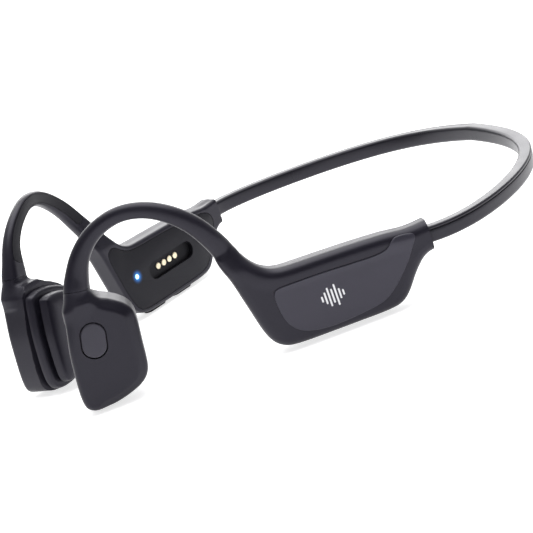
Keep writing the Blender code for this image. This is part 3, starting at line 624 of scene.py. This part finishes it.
def moulded(name, dark, light, rough, spread=0.05, grain=0.25, bump=0.12, specular=0.5, sheen=0.0, coat=0.0, coat_rough=0.3, metal=0.0, cloud=60.0, painted_led_glow=None):
    """Moulded or coated plastic: a slow drift of tone, a fine erosion texture, and roughness that varies with both.
    Grain is its size in millimetres."""
    made, tree, shader = nodes_of(name)
    n = tree.nodes
    where = n.new("ShaderNodeTexCoord")
    drift = n.new("ShaderNodeTexNoise")
    drift.inputs["Scale"].default_value = cloud
    drift.inputs["Detail"].default_value = 3.0
    link(tree, where.outputs["Object"], drift.inputs["Vector"])
    fine = n.new("ShaderNodeTexNoise")
    fine.inputs["Scale"].default_value = 1000.0 / grain
    fine.inputs["Detail"].default_value = 3.0
    fine.inputs["Roughness"].default_value = 0.6
    link(tree, where.outputs["Object"], fine.inputs["Vector"])
    cells = n.new("ShaderNodeTexVoronoi")
    cells.inputs["Scale"].default_value = 1000.0 / (grain * 1.4)
    link(tree, where.outputs["Object"], cells.inputs["Vector"])
    both = n.new("ShaderNodeMath")
    both.operation = "MULTIPLY_ADD"
    both.inputs[1].default_value = 0.35
    link(tree, cells.outputs["Distance"], both.inputs[0])
    link(tree, fine.outputs["Fac"], both.inputs[2])
    tone = n.new("ShaderNodeMath")
    tone.operation = "MULTIPLY_ADD"
    tone.inputs[1].default_value = 0.35
    link(tree, fine.outputs["Fac"], tone.inputs[0])
    link(tree, drift.outputs["Fac"], tone.inputs[2])
    ramp = n.new("ShaderNodeValToRGB")
    ramp.color_ramp.elements[0].position, ramp.color_ramp.elements[1].position = 0.45, 0.95
    ramp.color_ramp.elements[0].color, ramp.color_ramp.elements[1].color = (*dark, 1), (*light, 1)
    link(tree, tone.outputs[0], ramp.inputs["Fac"])
    link(tree, ramp.outputs["Color"], shader.inputs["Base Color"])
    rr = n.new("ShaderNodeMapRange")
    rr.inputs["From Min"].default_value, rr.inputs["From Max"].default_value = 0.4, 1.0
    rr.inputs["To Min"].default_value, rr.inputs["To Max"].default_value = rough - spread, rough + spread
    link(tree, tone.outputs[0], rr.inputs["Value"])
    link(tree, rr.outputs["Result"], shader.inputs["Roughness"])
    bb = n.new("ShaderNodeBump")
    bb.inputs["Strength"].default_value = bump
    bb.inputs["Distance"].default_value = 0.00004
    link(tree, both.outputs[0], bb.inputs["Height"])
    link(tree, bb.outputs["Normal"], shader.inputs["Normal"])
    shader.inputs["Specular IOR Level"].default_value = specular
    shader.inputs["Specular Tint"].default_value = (0.90, 0.88, 1.0, 1.0)
    shader.inputs["Metallic"].default_value = metal
    shader.inputs["Sheen Weight"].default_value = sheen
    shader.inputs["Sheen Roughness"].default_value = 0.4
    shader.inputs["Coat Weight"].default_value = coat
    shader.inputs["Coat Roughness"].default_value = coat_rough
    # painted glow: an emission that falls off with distance from a point paints the indicator's blue light onto the
    # surface round it, which is no lamp itself
    if painted_led_glow:
        centre, radius, colour, strength = painted_led_glow
        geo = n.new("ShaderNodeVectorMath")
        geo.operation = "DISTANCE"
        geo.inputs[1].default_value = centre
        link(tree, where.outputs["Object"], geo.inputs[0])
        fall = n.new("ShaderNodeMapRange")
        fall.inputs["From Min"].default_value, fall.inputs["From Max"].default_value = 0.0, radius
        fall.inputs["To Min"].default_value, fall.inputs["To Max"].default_value = 1.0, 0.0
        link(tree, geo.outputs["Value"], fall.inputs["Value"])
        power = n.new("ShaderNodeMath")
        power.operation = "POWER"
        power.inputs[1].default_value = 2.6
        link(tree, fall.outputs["Result"], power.inputs[0])
        scale = n.new("ShaderNodeMath")
        scale.operation = "MULTIPLY"
        scale.inputs[1].default_value = strength
        link(tree, power.outputs[0], scale.inputs[0])
        shader.inputs["Emission Color"].default_value = (*colour, 1)
        link(tree, scale.outputs[0], shader.inputs["Emission Strength"])
    return made


def metal(name, colour, rough, scale=400.0, streak=(1, 1, 12), bump=0.05):
    """Drawn or turned metal: fine streaks in tone, roughness and bump."""
    made, tree, shader = nodes_of(name)
    n = tree.nodes
    where = n.new("ShaderNodeTexCoord")
    turn = n.new("ShaderNodeMapping")
    turn.inputs["Scale"].default_value = streak
    link(tree, where.outputs["Object"], turn.inputs["Vector"])
    noise = n.new("ShaderNodeTexNoise")
    noise.inputs["Scale"].default_value = scale
    noise.inputs["Detail"].default_value = 4.0
    link(tree, turn.outputs["Vector"], noise.inputs["Vector"])
    ramp = n.new("ShaderNodeValToRGB")
    ramp.color_ramp.elements[0].position, ramp.color_ramp.elements[1].position = 0.3, 0.75
    ramp.color_ramp.elements[0].color = (*[c * 0.82 for c in colour], 1)
    ramp.color_ramp.elements[1].color = (*colour, 1)
    link(tree, noise.outputs["Fac"], ramp.inputs["Fac"])
    link(tree, ramp.outputs["Color"], shader.inputs["Base Color"])
    rr = n.new("ShaderNodeMapRange")
    rr.inputs["To Min"].default_value, rr.inputs["To Max"].default_value = rough - 0.07, rough + 0.07
    link(tree, noise.outputs["Fac"], rr.inputs["Value"])
    link(tree, rr.outputs["Result"], shader.inputs["Roughness"])
    bb = n.new("ShaderNodeBump")
    bb.inputs["Strength"].default_value = bump
    bb.inputs["Distance"].default_value = 0.00003
    link(tree, noise.outputs["Fac"], bb.inputs["Height"])
    link(tree, bb.outputs["Normal"], shader.inputs["Normal"])
    shader.inputs["Metallic"].default_value = 1.0
    return made


def circuit(name):
    """Solder mask over copper tracks."""
    made, tree, shader = nodes_of(name)
    n = tree.nodes
    where = n.new("ShaderNodeTexCoord")
    brick = n.new("ShaderNodeTexBrick")
    brick.inputs["Scale"].default_value = 300.0
    brick.inputs["Color1"].default_value = (0.01, 0.13, 0.05, 1)
    brick.inputs["Color2"].default_value = (0.012, 0.17, 0.07, 1)
    brick.inputs["Mortar"].default_value = (0.03, 0.26, 0.1, 1)
    link(tree, where.outputs["Object"], brick.inputs["Vector"])
    link(tree, brick.outputs["Color"], shader.inputs["Base Color"])
    noise = n.new("ShaderNodeTexNoise")
    noise.inputs["Scale"].default_value = 900.0
    link(tree, where.outputs["Object"], noise.inputs["Vector"])
    rr = n.new("ShaderNodeMapRange")
    rr.inputs["To Min"].default_value, rr.inputs["To Max"].default_value = 0.3, 0.5
    link(tree, noise.outputs["Fac"], rr.inputs["Value"])
    link(tree, rr.outputs["Result"], shader.inputs["Roughness"])
    bb = n.new("ShaderNodeBump")
    bb.inputs["Strength"].default_value = 0.1
    bb.inputs["Distance"].default_value = 0.00005
    link(tree, brick.outputs["Fac"], bb.inputs["Height"])
    link(tree, bb.outputs["Normal"], shader.inputs["Normal"])
    return made


LIGHT_AT = metres(HOUSING.at(LIGHT[0], -3.7, LIGHT[1]), "right")

SOFT = moulded("soft_touch_charcoal", (0.0082, 0.0074, 0.0125), (0.0128, 0.0118, 0.0185), 0.36, specular=0.35)
SOFT_BAND = moulded("silicone_charcoal", (0.0075, 0.0072, 0.0100), (0.0115, 0.0110, 0.0150), 0.30, grain=0.18, specular=0.42)
PLATE = moulded("satin_plate_grey", (0.028, 0.0265, 0.037), (0.037, 0.035, 0.048), 0.36, grain=0.12, bump=0.08, specular=0.42)
BUTTON = moulded("button_grey", (0.024, 0.023, 0.031), (0.032, 0.030, 0.040), 0.46, grain=0.15, bump=0.1)
# the right inner cover carries painted glow: blue emission round the indicator paints the light pipe's glow onto the
# matte cover
COVER = moulded("matte_cover_black", (0.0050, 0.0050, 0.0068), (0.0085, 0.0085, 0.0112), 0.5, grain=0.3, bump=0.2, specular=0.25,
                painted_led_glow=(tuple(LIGHT_AT), 0.0024, (0.05, 0.32, 1.0), 2.2))
COVER_PLAIN = moulded("matte_cover_black_left", (0.0050, 0.0050, 0.0068), (0.0085, 0.0085, 0.0112), 0.5, grain=0.3, bump=0.2, specular=0.25)
RUBBER = moulded("black_rubber", (0.004, 0.004, 0.005), (0.007, 0.007, 0.008), 0.62, grain=0.2, bump=0.2, specular=0.25)
WHITE = moulded("white_print", (0.80, 0.80, 0.82), (0.90, 0.90, 0.92), 0.5, grain=0.1, bump=0.05)
FOIL = moulded("battery_wrap", (0.20, 0.21, 0.26), (0.30, 0.31, 0.36), 0.35, grain=0.5, bump=0.2, metal=0.6)
TITANIUM = metal("titanium_wire", (0.52, 0.50, 0.48), 0.34)
STEEL = metal("steel_machined", (0.56, 0.56, 0.58), 0.3)
COPPER = metal("copper_winding", (0.75, 0.34, 0.17), 0.36, 900.0, (30, 30, 2), 0.2)
GOLD = metal("gold_contact", (0.98, 0.88, 0.66), 0.5, 700.0, (1, 1, 1), 0.04)
CIRCUIT = circuit("solder_mask_green")


def glowing(name):
    made, tree, shader = nodes_of(name)
    n = tree.nodes
    where = n.new("ShaderNodeTexCoord")
    noise = n.new("ShaderNodeTexNoise")
    noise.inputs["Scale"].default_value = 1500.0
    link(tree, where.outputs["Object"], noise.inputs["Vector"])
    ramp = n.new("ShaderNodeValToRGB")
    ramp.color_ramp.elements[0].color, ramp.color_ramp.elements[1].color = (0.25, 0.72, 1.0, 1), (0.5, 0.88, 1.0, 1)
    link(tree, noise.outputs["Fac"], ramp.inputs["Fac"])
    link(tree, ramp.outputs["Color"], shader.inputs["Base Color"])
    link(tree, ramp.outputs["Color"], shader.inputs["Emission Color"])
    rr = n.new("ShaderNodeMapRange")
    rr.inputs["To Min"].default_value, rr.inputs["To Max"].default_value = 0.15, 0.3
    link(tree, noise.outputs["Fac"], rr.inputs["Value"])
    link(tree, rr.outputs["Result"], shader.inputs["Roughness"])
    shader.inputs["Emission Strength"].default_value = 2.5
    return made


GLOW = glowing("indicator_glow")


def dress(obj, material, body):
    obj.data.materials.clear()
    obj.data.materials.append(material)
    if body:
        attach(obj, body)
    return obj


# ------------------------------------------------------------------ organic body


STEP = 0.32
body_points, body_faces = mesh_field(body_field, (13.0, -4.5, -3.2), (64.5, 92.0, 49.0), STEP)


def housing_depth(out, up):
    t = ease((up - 21.7) / 6.2)
    return out * (1 - t * 0.32) + 0.3 * t


def outer_height(us, zs):
    """How far out the body's outer face lies, over (along, up), found by stepping in from outside."""
    us, zs = np.asarray(us, float), np.asarray(zs, float)
    n = np.full(len(us), 7.5)
    for _ in range(14):
        p = HOUSING.at(us, n, zs)
        n = n - np.clip(body_field(p), -0.4, 1.2) * 0.98
    return n


def band_line(count):
    control = ((57.895, 83.257), (66.77, 97.3), (48.9, 121.1), (43.8, 141.04), (0.0, 141.04))
    t = np.linspace(0, 1, 1200)
    xy = sum(np.outer(math.comb(4, k) * (1 - t) ** (4 - k) * t**k, c) for k, c in enumerate(control))
    z = 13.75 - 0.92 * t + 3.82 * t * t
    return even(np.column_stack([xy, z]), count)


BAND = band_line(400)
LEAD = (BAND[2] - BAND[0]) / np.linalg.norm(BAND[2] - BAND[0])


def section_rings(line, section, first_way=None):
    way = np.gradient(line, axis=0)
    way /= np.linalg.norm(way, axis=1)[:, None]
    level = np.cross(way, (0, 0, 1.0))
    level /= np.linalg.norm(level, axis=1)[:, None]
    up = np.cross(level, way)
    return [line[i] + np.outer(section[:, 0], level[i]) + np.outer(section[:, 1], up[i]) for i in range(len(line))]


def hook_frames(count, start=2, stop=13):
    """Stations along the hook: middle, broad way, outward way, half width and half thickness."""
    i0 = TUBE.nearest(HOOK_FOOT[None])[0]
    i1 = TUBE.nearest(np.array([HOOK_LINE[-1]]))[0]
    t = np.linspace(i0, i1, count)
    i = np.arange(len(TUBE.line))

    def at(v):
        return np.stack([np.interp(t, i, v[:, k]) for k in range(v.shape[1])], 1) if v.ndim == 2 else np.interp(t, i, v)

    return at(TUBE.line), at(TUBE.broad), at(TUBE.out), at(TUBE.wide), at(TUBE.thick), at(TUBE.flat)


INLAY_TRIM = 0.07


def inlay_rings(extra, top, bottom):
    """The strip on the hook's head side, with rounded ends; extra widens and lengthens it."""
    middle, broad, out, wide, thick, flat = hook_frames(150)
    length = np.concatenate([[0], np.cumsum(np.linalg.norm(np.diff(middle, axis=0), axis=1))])
    lo, hi = length[-1] * INLAY_TRIM - extra, length[-1] * (1 - 0.075) + extra
    t = np.concatenate([lo + (1 - np.cos(np.linspace(0, math.pi / 2, 9))) * 1.3, np.linspace(lo + 1.6, hi - 1.6, 110), hi - (1 - np.cos(np.linspace(math.pi / 2, 0, 9))) * 1.3])

    def at(v):
        return np.stack([np.interp(t, length, v[:, k]) for k in range(v.shape[1])], 1) if v.ndim == 2 else np.interp(t, length, v)

    m, b, o, w, h, f = (at(v) for v in (middle, broad, out, wide, thick, flat))
    rings = []
    for k in range(len(t)):
        end = min(t[k] - lo, hi - t[k], 1.3)
        half = (w[k] * 0.60 + extra) * math.sqrt(max(0.02, 1 - (1 - end / 1.3) ** 2))
        base = -h[k] + f[k]
        x = np.array([-half, -half * 0.55, 0.0, half * 0.55, half])
        crown = top - 0.10 * (x / half) ** 2
        ys = np.concatenate([base - crown, [base + bottom] * 5])
        xs = np.concatenate([x, x[::-1]])
        rings.append(m[k] + np.outer(xs, b[k]) + np.outer(ys, o[k]))
    return rings


def make_side(side):
    mirror = side
    # --- hook and housing in one skin
    body = new_object(side + "_hook_and_housing", metres(body_points, side), body_faces)
    sign = 1 if side == "left" else -1

    def vec(v):
        return Vector((v[0] * sign, v[1], v[2]))

    def pt(p):
        return Vector(metres(p, side))

    pod = new_object(side + "_pod_outer", metres(body_points, side), body_faces)
    # the seam between them, at the hook's foot: only the skin in front of the ear is cut
    for obj, shift, turn, keep_front in ((body, 0.05, -1, False), (pod, -0.05, 1, True)):
        mesh = bmesh.new()
        mesh.from_mesh(obj.data)
        limit = (23.0 - ORIGIN[1]) * MM
        faces = [f for f in mesh.faces if all(v.co.y < limit for v in f.verts)]
        edges = list({e for f in faces for e in f.edges})
        verts = list({v for f in faces for v in f.verts})
        bmesh.ops.bisect_plane(
            mesh, geom=verts + edges + faces, plane_co=pt(HOOK_FOOT + HOOK_FOOT_NORMAL * shift),
            plane_no=vec(HOOK_FOOT_NORMAL) * turn, clear_outer=True, dist=1e-8,
        )
        cap_open(mesh)
        mesh.verts.index_update()
        mesh.verts.ensure_lookup_table()
        seen, doomed = set(), []
        for v in mesh.verts:
            if v.index in seen:
                continue
            island, stack = [], [v]
            seen.add(v.index)
            while stack:
                w = stack.pop()
                island.append(w)
                for e in w.link_edges:
                    o = e.other_vert(w)
                    if o.index not in seen:
                        seen.add(o.index)
                        stack.append(o)
            front = min(w.co.z for w in island) < 0.012 and sum(w.co.y for w in island) / len(island) < limit
            if front != keep_front:
                doomed += island
        bmesh.ops.delete(mesh, geom=doomed, context="VERTS")
        mesh.to_mesh(obj.data)
        mesh.free()
        shade(obj)
    # flat rear end
    trimmed(body, pt(HOUSING.at(HOUSING_END, 0, 13.75)), vec(HOUSING.along))
    # hollow, cover seat, neckband socket
    cavity = smoothed_loop(CAVITY_OUTLINE, 90, 2)
    cut(body, slab("c", HOUSING, cavity, ((-5.0, 0), (2.2, 0)), side))
    seat = smoothed_loop(COVER_OUTLINE, 220, 4)
    cut(body, slab("c", HOUSING, seat, ((-6.5, 0), (-2.55, 0)), side, depth=lambda out, z: np.where(out < -6, out, housing_depth(out, z))))
    t = np.linspace(0, 2 * math.pi, 64, endpoint=False)
    power = 0.7
    socket = np.stack([np.sign(np.cos(t)) * np.abs(np.cos(t)) ** power * 2.0, np.sign(np.sin(t)) * np.abs(np.sin(t)) ** power * 2.35], 1)
    line = np.array([BAND[0] + LEAD * d for d in np.linspace(-7.0, 4.0, 12)])
    cut(body, loft("c", section_rings(line, socket), side))
    cut(body, loft("c", inlay_rings(0.13, 0.6, 0.42), side))
    if side == "right":
        for middle in (8.3, 20.2):
            loop = stadium((0, 0), 8.2 + 0.5, 3.2 + 0.5, 0.0)
            rings = [HOUSING.at(middle + loop[:, 1], loop[:, 0], z) for z in (-3.0, 2.6)]
            cut(body, loft("c", rings, side))
    dress(body, SOFT, side + "_side")
    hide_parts(side + "_hook_sleeve", side + "_housing_shell")

    inlay = loft(side + "_hook_strip", inlay_rings(0.0, 0.06, 0.36), side, smooth=40)
    dress(inlay, COVER_PLAIN, side + "_side")
    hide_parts(side + "_hook_inlay")

    # --- pod
    trimmed(pod, pt(POD.at(0, POD_SEAM + 0.06, 0)), -vec(POD.out))
    room = shrunk(smoothed_loop(INNER_OUTLINE, 120, 3), 1.7)
    cut(pod, slab("c", POD, room, ((-8.5, 0), (0.9, 0)), side))
    if side == "left":
        hole = stadium(BUTTON_MIDDLE, BUTTON_SIZE[0] + 0.5, BUTTON_SIZE[1] + 0.5, BUTTON_LEAN, 40)
        cut(pod, slab("c", POD, hole, ((0.0, 0), (5.0, 0)), side))
    dress(pod, SOFT, side + "_side")
    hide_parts(side + "_pod_outer_shell")

    inner_loop = inset(smoothed_loop(INNER_OUTLINE, 260, 5), -0.35)
    levels = [(POD_SEAM - 0.06, 0.12), (POD_SEAM - 0.16, 0.02), (POD_SEAM - 0.9, 0.0), (-8.0, 0.08)]
    levels += [(-8.4 - 0.8 * math.sin(a), 0.2 + 0.95 * (1 - math.cos(a))) for a in np.linspace(0.1, math.pi / 2, 8)]
    shell = slab(side + "_pod_inner", POD, inner_loop, levels, side)
    cut(shell, slab("c", POD, shrunk(inner_loop, 2.0), ((POD_SEAM + 1.0, 0), (POD_SEAM - 1.5, 0)), side))
    cut(shell, turned("c", POD.at(8.6, 0, 13.2), POD.out, ((-10.2, 3.2), (-5.7, 3.2)), 40, side))
    dress(shell, SOFT, side + "_side")
    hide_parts(side + "_pod_inner_shell")

    pad_loop = shrunk(smoothed_loop(INNER_OUTLINE, 260, 8), 1.25)
    levels = [(-9.9, 0.75), (-9.98, 0.35), (-10.3, 0.0)]
    levels += [(-10.5 - 1.5 * t, 0.02 + 0.2 * t * t) for t in (0.0, 0.35, 0.7, 1.0)]
    levels += [(-12.0 - 1.3 * math.sin(a), 0.22 + 3.6 * (1 - math.cos(a))) for a in np.linspace(0.15, math.pi / 2, 12)]
    pad = slab(side + "_pad", POD, pad_loop, levels, side)
    dress(pad, SOFT, side + "_transducer_drive")
    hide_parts(side + "_transducer_pad")

    # --- plate
    loop = smoothed_loop(PLATE_OUTLINE, 260, 3)
    plate = patch(side + "_plate", HOUSING, loop, lambda u, z: outer_height(u, z) + 0.32, 0.1, 0.6, 0.55, side)
    dress(plate, PLATE, side + "_side")
    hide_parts(side + "_trim_plate")

    # --- inner cover
    seat = inset(smoothed_loop(COVER_OUTLINE, 220, 4), 0.11)
    levels = ((-2.62, 0.0), (-3.56, 0.0), (-3.66, 0.04), (-3.70, 0.14))
    cover = slab(side + "_cover", HOUSING, seat, levels, side, depth=housing_depth)
    if side == "right":
        slot = stadium((0, 0), *SLOT_SIZE, 90.0) + SLOT_MIDDLE
        cut(cover, slab("c", HOUSING, slot, ((-6.0, 0), (-1.0, 0)), side))
        cut(cover, turned("c", HOUSING.at(LIGHT[0], 0, LIGHT[1]), HOUSING.out, ((-6.0, 0.8), (-1.0, 0.8)), 40, side))
    # the right cover's material paints the indicator's glow onto it
    dress(cover, COVER if side == "right" else COVER_PLAIN, side + "_side")
    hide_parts(side + "_inner_cover")


for name in ("left", "right"):
    make_side(name)

# ------------------------------------------------------------------ neckband


def band_section():
    """Half-flat sleeve with a fine bead along its upper outer corner: level is away from the head."""
    pts = []

    def arc(cx, cy, r, a0, a1, k=6):
        for a in np.linspace(math.radians(a0), math.radians(a1), k):
            pts.append((cx + r * math.cos(a), cy + r * math.sin(a)))

    arc(0.85, -1.2, 0.95, -90, 0)  # lower outer
    pts.append((1.8, 0.2))
    arc(1.72, 1.0, 0.08, 0, 90, 3)
    pts.append((1.55, 1.12))
    arc(1.35, 1.62, 0.5, -50, 90, 9)
    pts.append((0.2, 2.14))
    arc(-0.85, 1.2, 0.95, 90, 180)
    pts.append((-1.8, 0.0))
    arc(-0.85, -1.2, 0.95, 180, 270)
    return np.array(pts)


def whole_line(start, count):
    line = np.vstack([[BAND[0] - LEAD * start], BAND])
    line = even(line, count)
    other = line[::-1][1:] * (-1, 1, 1)
    return np.vstack([line, other])


section = band_section()
line = whole_line(1.6, 180)
outer = section_rings(line, section)
t = np.linspace(0, 2 * math.pi, len(section), endpoint=False) - math.pi / 2
bore = np.stack([0.85 * np.cos(t), 0.85 * np.sin(t)], 1)
inner = section_rings(line, bore)
band = loft("neckband_sleeve", outer + inner[::-1], "left", closed=True, smooth=50)
dress(band, SOFT_BAND, None)
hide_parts("left_band_sleeve", "right_band_sleeve")
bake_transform(band)

line = whole_line(5.2, 160)
t = np.linspace(0, 2 * math.pi, 20, endpoint=False)
wire = loft("neckband_wire", section_rings(line, np.stack([0.55 * np.cos(t), 0.55 * np.sin(t)], 1)), "left", smooth=60)
dress(wire, TITANIUM, None)
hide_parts("left_band_wire", "right_band_wire")
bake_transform(wire)

# ------------------------------------------------------------------ buttons, contacts, light

loop = stadium(BUTTON_MIDDLE, *BUTTON_SIZE, BUTTON_LEAN, 40)
top = POD_FACE + 0.12
levels = [(0.1, -0.5), (0.5, -0.5), (0.5, 0.0), (top - 0.45, 0.0)]
levels += [(top - 0.45 + 0.40 * math.sin(a), 0.40 * (1 - math.cos(a))) for a in np.linspace(0.2, math.pi / 2, 7)]
levels += [(top - 0.03, 0.9), (top, 1.8)]
button = slab("multifunction_key", POD, loop, levels, "left")
dress(button, BUTTON, "multifunction_button")
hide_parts("multifunction_button")

for name, middle in (("volume_up", 8.3), ("volume_down", 20.2)):
    rings = []
    for up, extra in ((2.3, 0.8), (1.9, 0.8), (1.9, 0.0), (-1.2, 0.0), (-1.38, -0.07), (-1.46, -0.24), (-1.5, -0.6)):
        l = stadium((0, 0), 8.2 + extra, 3.2 + extra, 0.0)
        rings.append(HOUSING.at(middle + l[:, 1], l[:, 0], up))
    key = loft(name + "_key", rings, "right")
    dress(key, RUBBER, name + "_button")
    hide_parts(name + "_button")

slot = stadium((0, 0), SLOT_SIZE[0] + 1.0, SLOT_SIZE[1] + 1.0, 90.0) + SLOT_MIDDLE
front = -2.3
carrier = slab("contact_block", HOUSING, slot, ((front, 0.0), (front + 1.0, 0.0)), "right")
dress(carrier, RUBBER, "right_side")
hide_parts("contact_carrier")
for k in range(4):
    u = CONTACT_MIDDLE[0] + (k - 1.5) * CONTACT_PITCH
    profile = [(front + 0.3, 0.95), (front - 0.12, 0.95), (front - 0.19, 0.93), (front - 0.24, 0.87), (front - 0.27, 0.6), (front - 0.28, 0.2)]
    dome = turned(f"contact_dome_{k + 1}", HOUSING.at(u, 0, CONTACT_MIDDLE[1]), HOUSING.out, profile, 40, "right", smooth=50)
    dress(dome, GOLD, "right_side")
    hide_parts(f"charging_contact_{k + 1}")

profile = [(-1.6, 0.68), (-3.55, 0.68)] + [(-3.55 - 0.2 * math.sin(a), 0.68 * math.cos(a)) for a in np.linspace(0.2, 1.45, 8)]
lamp = turned("indicator_lens", HOUSING.at(LIGHT[0], 0, LIGHT[1]), HOUSING.out, profile, 40, "right", smooth=50)
dress(lamp, GLOW, "right_side")
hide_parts("indicator_light_pipe")

# ------------------------------------------------------------------ sound bars on the near plate

heights = (1.5, 3.1, 4.9, 3.7, 5.6, 2.7, 1.5)
for k, h in enumerate(heights):
    u = 15.2 + (k - 3) * 0.92
    loop = stadium((u, 8.6), h, 0.46, 0.0, 10)
    bar = patch(f"left_sound_bar_{k + 1}", HOUSING, loop, lambda x, z: outer_height(x, z) + 0.335, 0.005, 0.02, 0.3, "left")
    dress(bar, WHITE, "left_side")

# ------------------------------------------------------------------ carried-over CAD nodes

INSIDE = {
    "wire": TITANIUM, "ferrule": STEEL, "yoke": STEEL, "magnet": STEEL, "armature": STEEL, "coil": COPPER,
    "battery": FOIL, "board": CIRCUIT, "switch": STEEL, "microphone": STEEL,
}
for name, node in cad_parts.items():
    found = [m for key, m in INSIDE.items() if key in name]
    node.data.materials.clear()
    node.data.materials.append(found[0] if found else SOFT)
    node.data.shade_smooth()
    node.data.set_sharp_from_angle(angle=math.radians(35))

# ------------------------------------------------------------------ floor, light, camera

data = bpy.data.meshes.new("floor")
n = 24
xs = np.linspace(-60, 60, n)
grid = [(x, y, -0.00002) for x in xs for y in xs]
quads = [(i * n + j, (i + 1) * n + j, (i + 1) * n + j + 1, i * n + j + 1) for i in range(n - 1) for j in range(n - 1)]
data.from_pydata(grid, [], quads)
floor = bpy.data.objects.new("floor", data)
scene.collection.objects.link(floor)
paper, tree, shader = nodes_of("pale_floor")
noise = tree.nodes.new("ShaderNodeTexNoise")
noise.inputs["Scale"].default_value = 4.0
ramp = tree.nodes.new("ShaderNodeValToRGB")
ramp.color_ramp.elements[0].color, ramp.color_ramp.elements[1].color = (0.68, 0.68, 0.685, 1), (0.71, 0.71, 0.715, 1)
link(tree, noise.outputs["Fac"], ramp.inputs["Fac"])
link(tree, ramp.outputs["Color"], shader.inputs["Base Color"])
shader.inputs["Roughness"].default_value = 0.95
shader.inputs["Specular IOR Level"].default_value = 0.0
shader.inputs["Emission Color"].default_value = (1.0, 1.0, 1.0, 1)
shader.inputs["Emission Strength"].default_value = 0.72
data.materials.append(paper)

world = bpy.data.worlds.new("studio")
scene.world = world
world.use_nodes = True
tree = world.node_tree
ground = tree.nodes["Background"]
sky = tree.nodes.new("ShaderNodeTexCoord")
# a studio that is bright overhead and behind the object, and dim on the near side
level = tree.nodes.new("ShaderNodeVectorMath")
level.operation = "DOT_PRODUCT"
level.inputs[1].default_value = (-0.50, 0.25, 0.83)
link(tree, sky.outputs["Generated"], level.inputs[0])
haze = tree.nodes.new("ShaderNodeTexNoise")
haze.inputs["Scale"].default_value = 1.2
link(tree, sky.outputs["Generated"], haze.inputs["Vector"])
mixed = tree.nodes.new("ShaderNodeMath")
mixed.operation = "MULTIPLY_ADD"
mixed.inputs[1].default_value = 0.15
link(tree, haze.outputs["Fac"], mixed.inputs[0])
link(tree, level.outputs["Value"], mixed.inputs[2])
glow = tree.nodes.new("ShaderNodeValToRGB")
glow.color_ramp.elements[0].position, glow.color_ramp.elements[1].position = 0.0, 0.95
glow.color_ramp.elements[0].color, glow.color_ramp.elements[1].color = (0.06, 0.06, 0.065, 1), (1.0, 1.0, 1.0, 1)
link(tree, mixed.outputs[0], glow.inputs["Fac"])
link(tree, glow.outputs["Color"], ground.inputs["Color"])
ground.inputs["Strength"].default_value = 0.85


def area(name, place, aim, size, power, colour=(1, 1, 1), size_y=None):
    light = bpy.data.lights.new(name, "AREA")
    light.shape = "RECTANGLE"
    light.size, light.size_y = size, size_y or size
    light.energy, light.color = power, colour
    obj = bpy.data.objects.new(name, light)
    scene.collection.objects.link(obj)
    place, aim = Vector(place), Vector(aim)
    obj.matrix_world = Matrix.Translation(place) @ (aim - place).to_track_quat("-Z", "Y").to_matrix().to_4x4()
    return obj


CENTRE = Vector((0.0, 0.0, 0.02))
area("top_softbox", (-0.12, 0.08, 1.1), CENTRE, 1.3, 15.0)
area("rear_softbox", (-1.0, 0.5, 0.45), CENTRE, 1.2, 6.0, size_y=0.5)
area("front_fill", (0.9, -0.95, 0.6), CENTRE, 0.9, 0.8)

camera = bpy.data.cameras.new("camera")
camera.sensor_width = 36
camera.lens = 2150 / 533 * 36
camera.clip_start, camera.clip_end = 0.01, 50
holder = bpy.data.objects.new("camera", camera)
scene.collection.objects.link(holder)
R = np.array([[0.486, 0.813, -0.320], [-0.068, 0.400, 0.914], [-0.871, 0.422, -0.250]])
r = R[0] / np.linalg.norm(R[0])
forward = R[2] - R[2].dot(r) * r
forward /= np.linalg.norm(forward)
up = np.cross(r, forward)
M = np.eye(4)
M[:3, 0], M[:3, 1], M[:3, 2] = r, up, -forward
M[:3, 3] = (np.array([501.29, -176.48, 151.82]) - ORIGIN) / 1000
holder.matrix_world = Matrix(M.tolist())
scene.camera = holder
scene.view_settings.view_transform = "Standard"
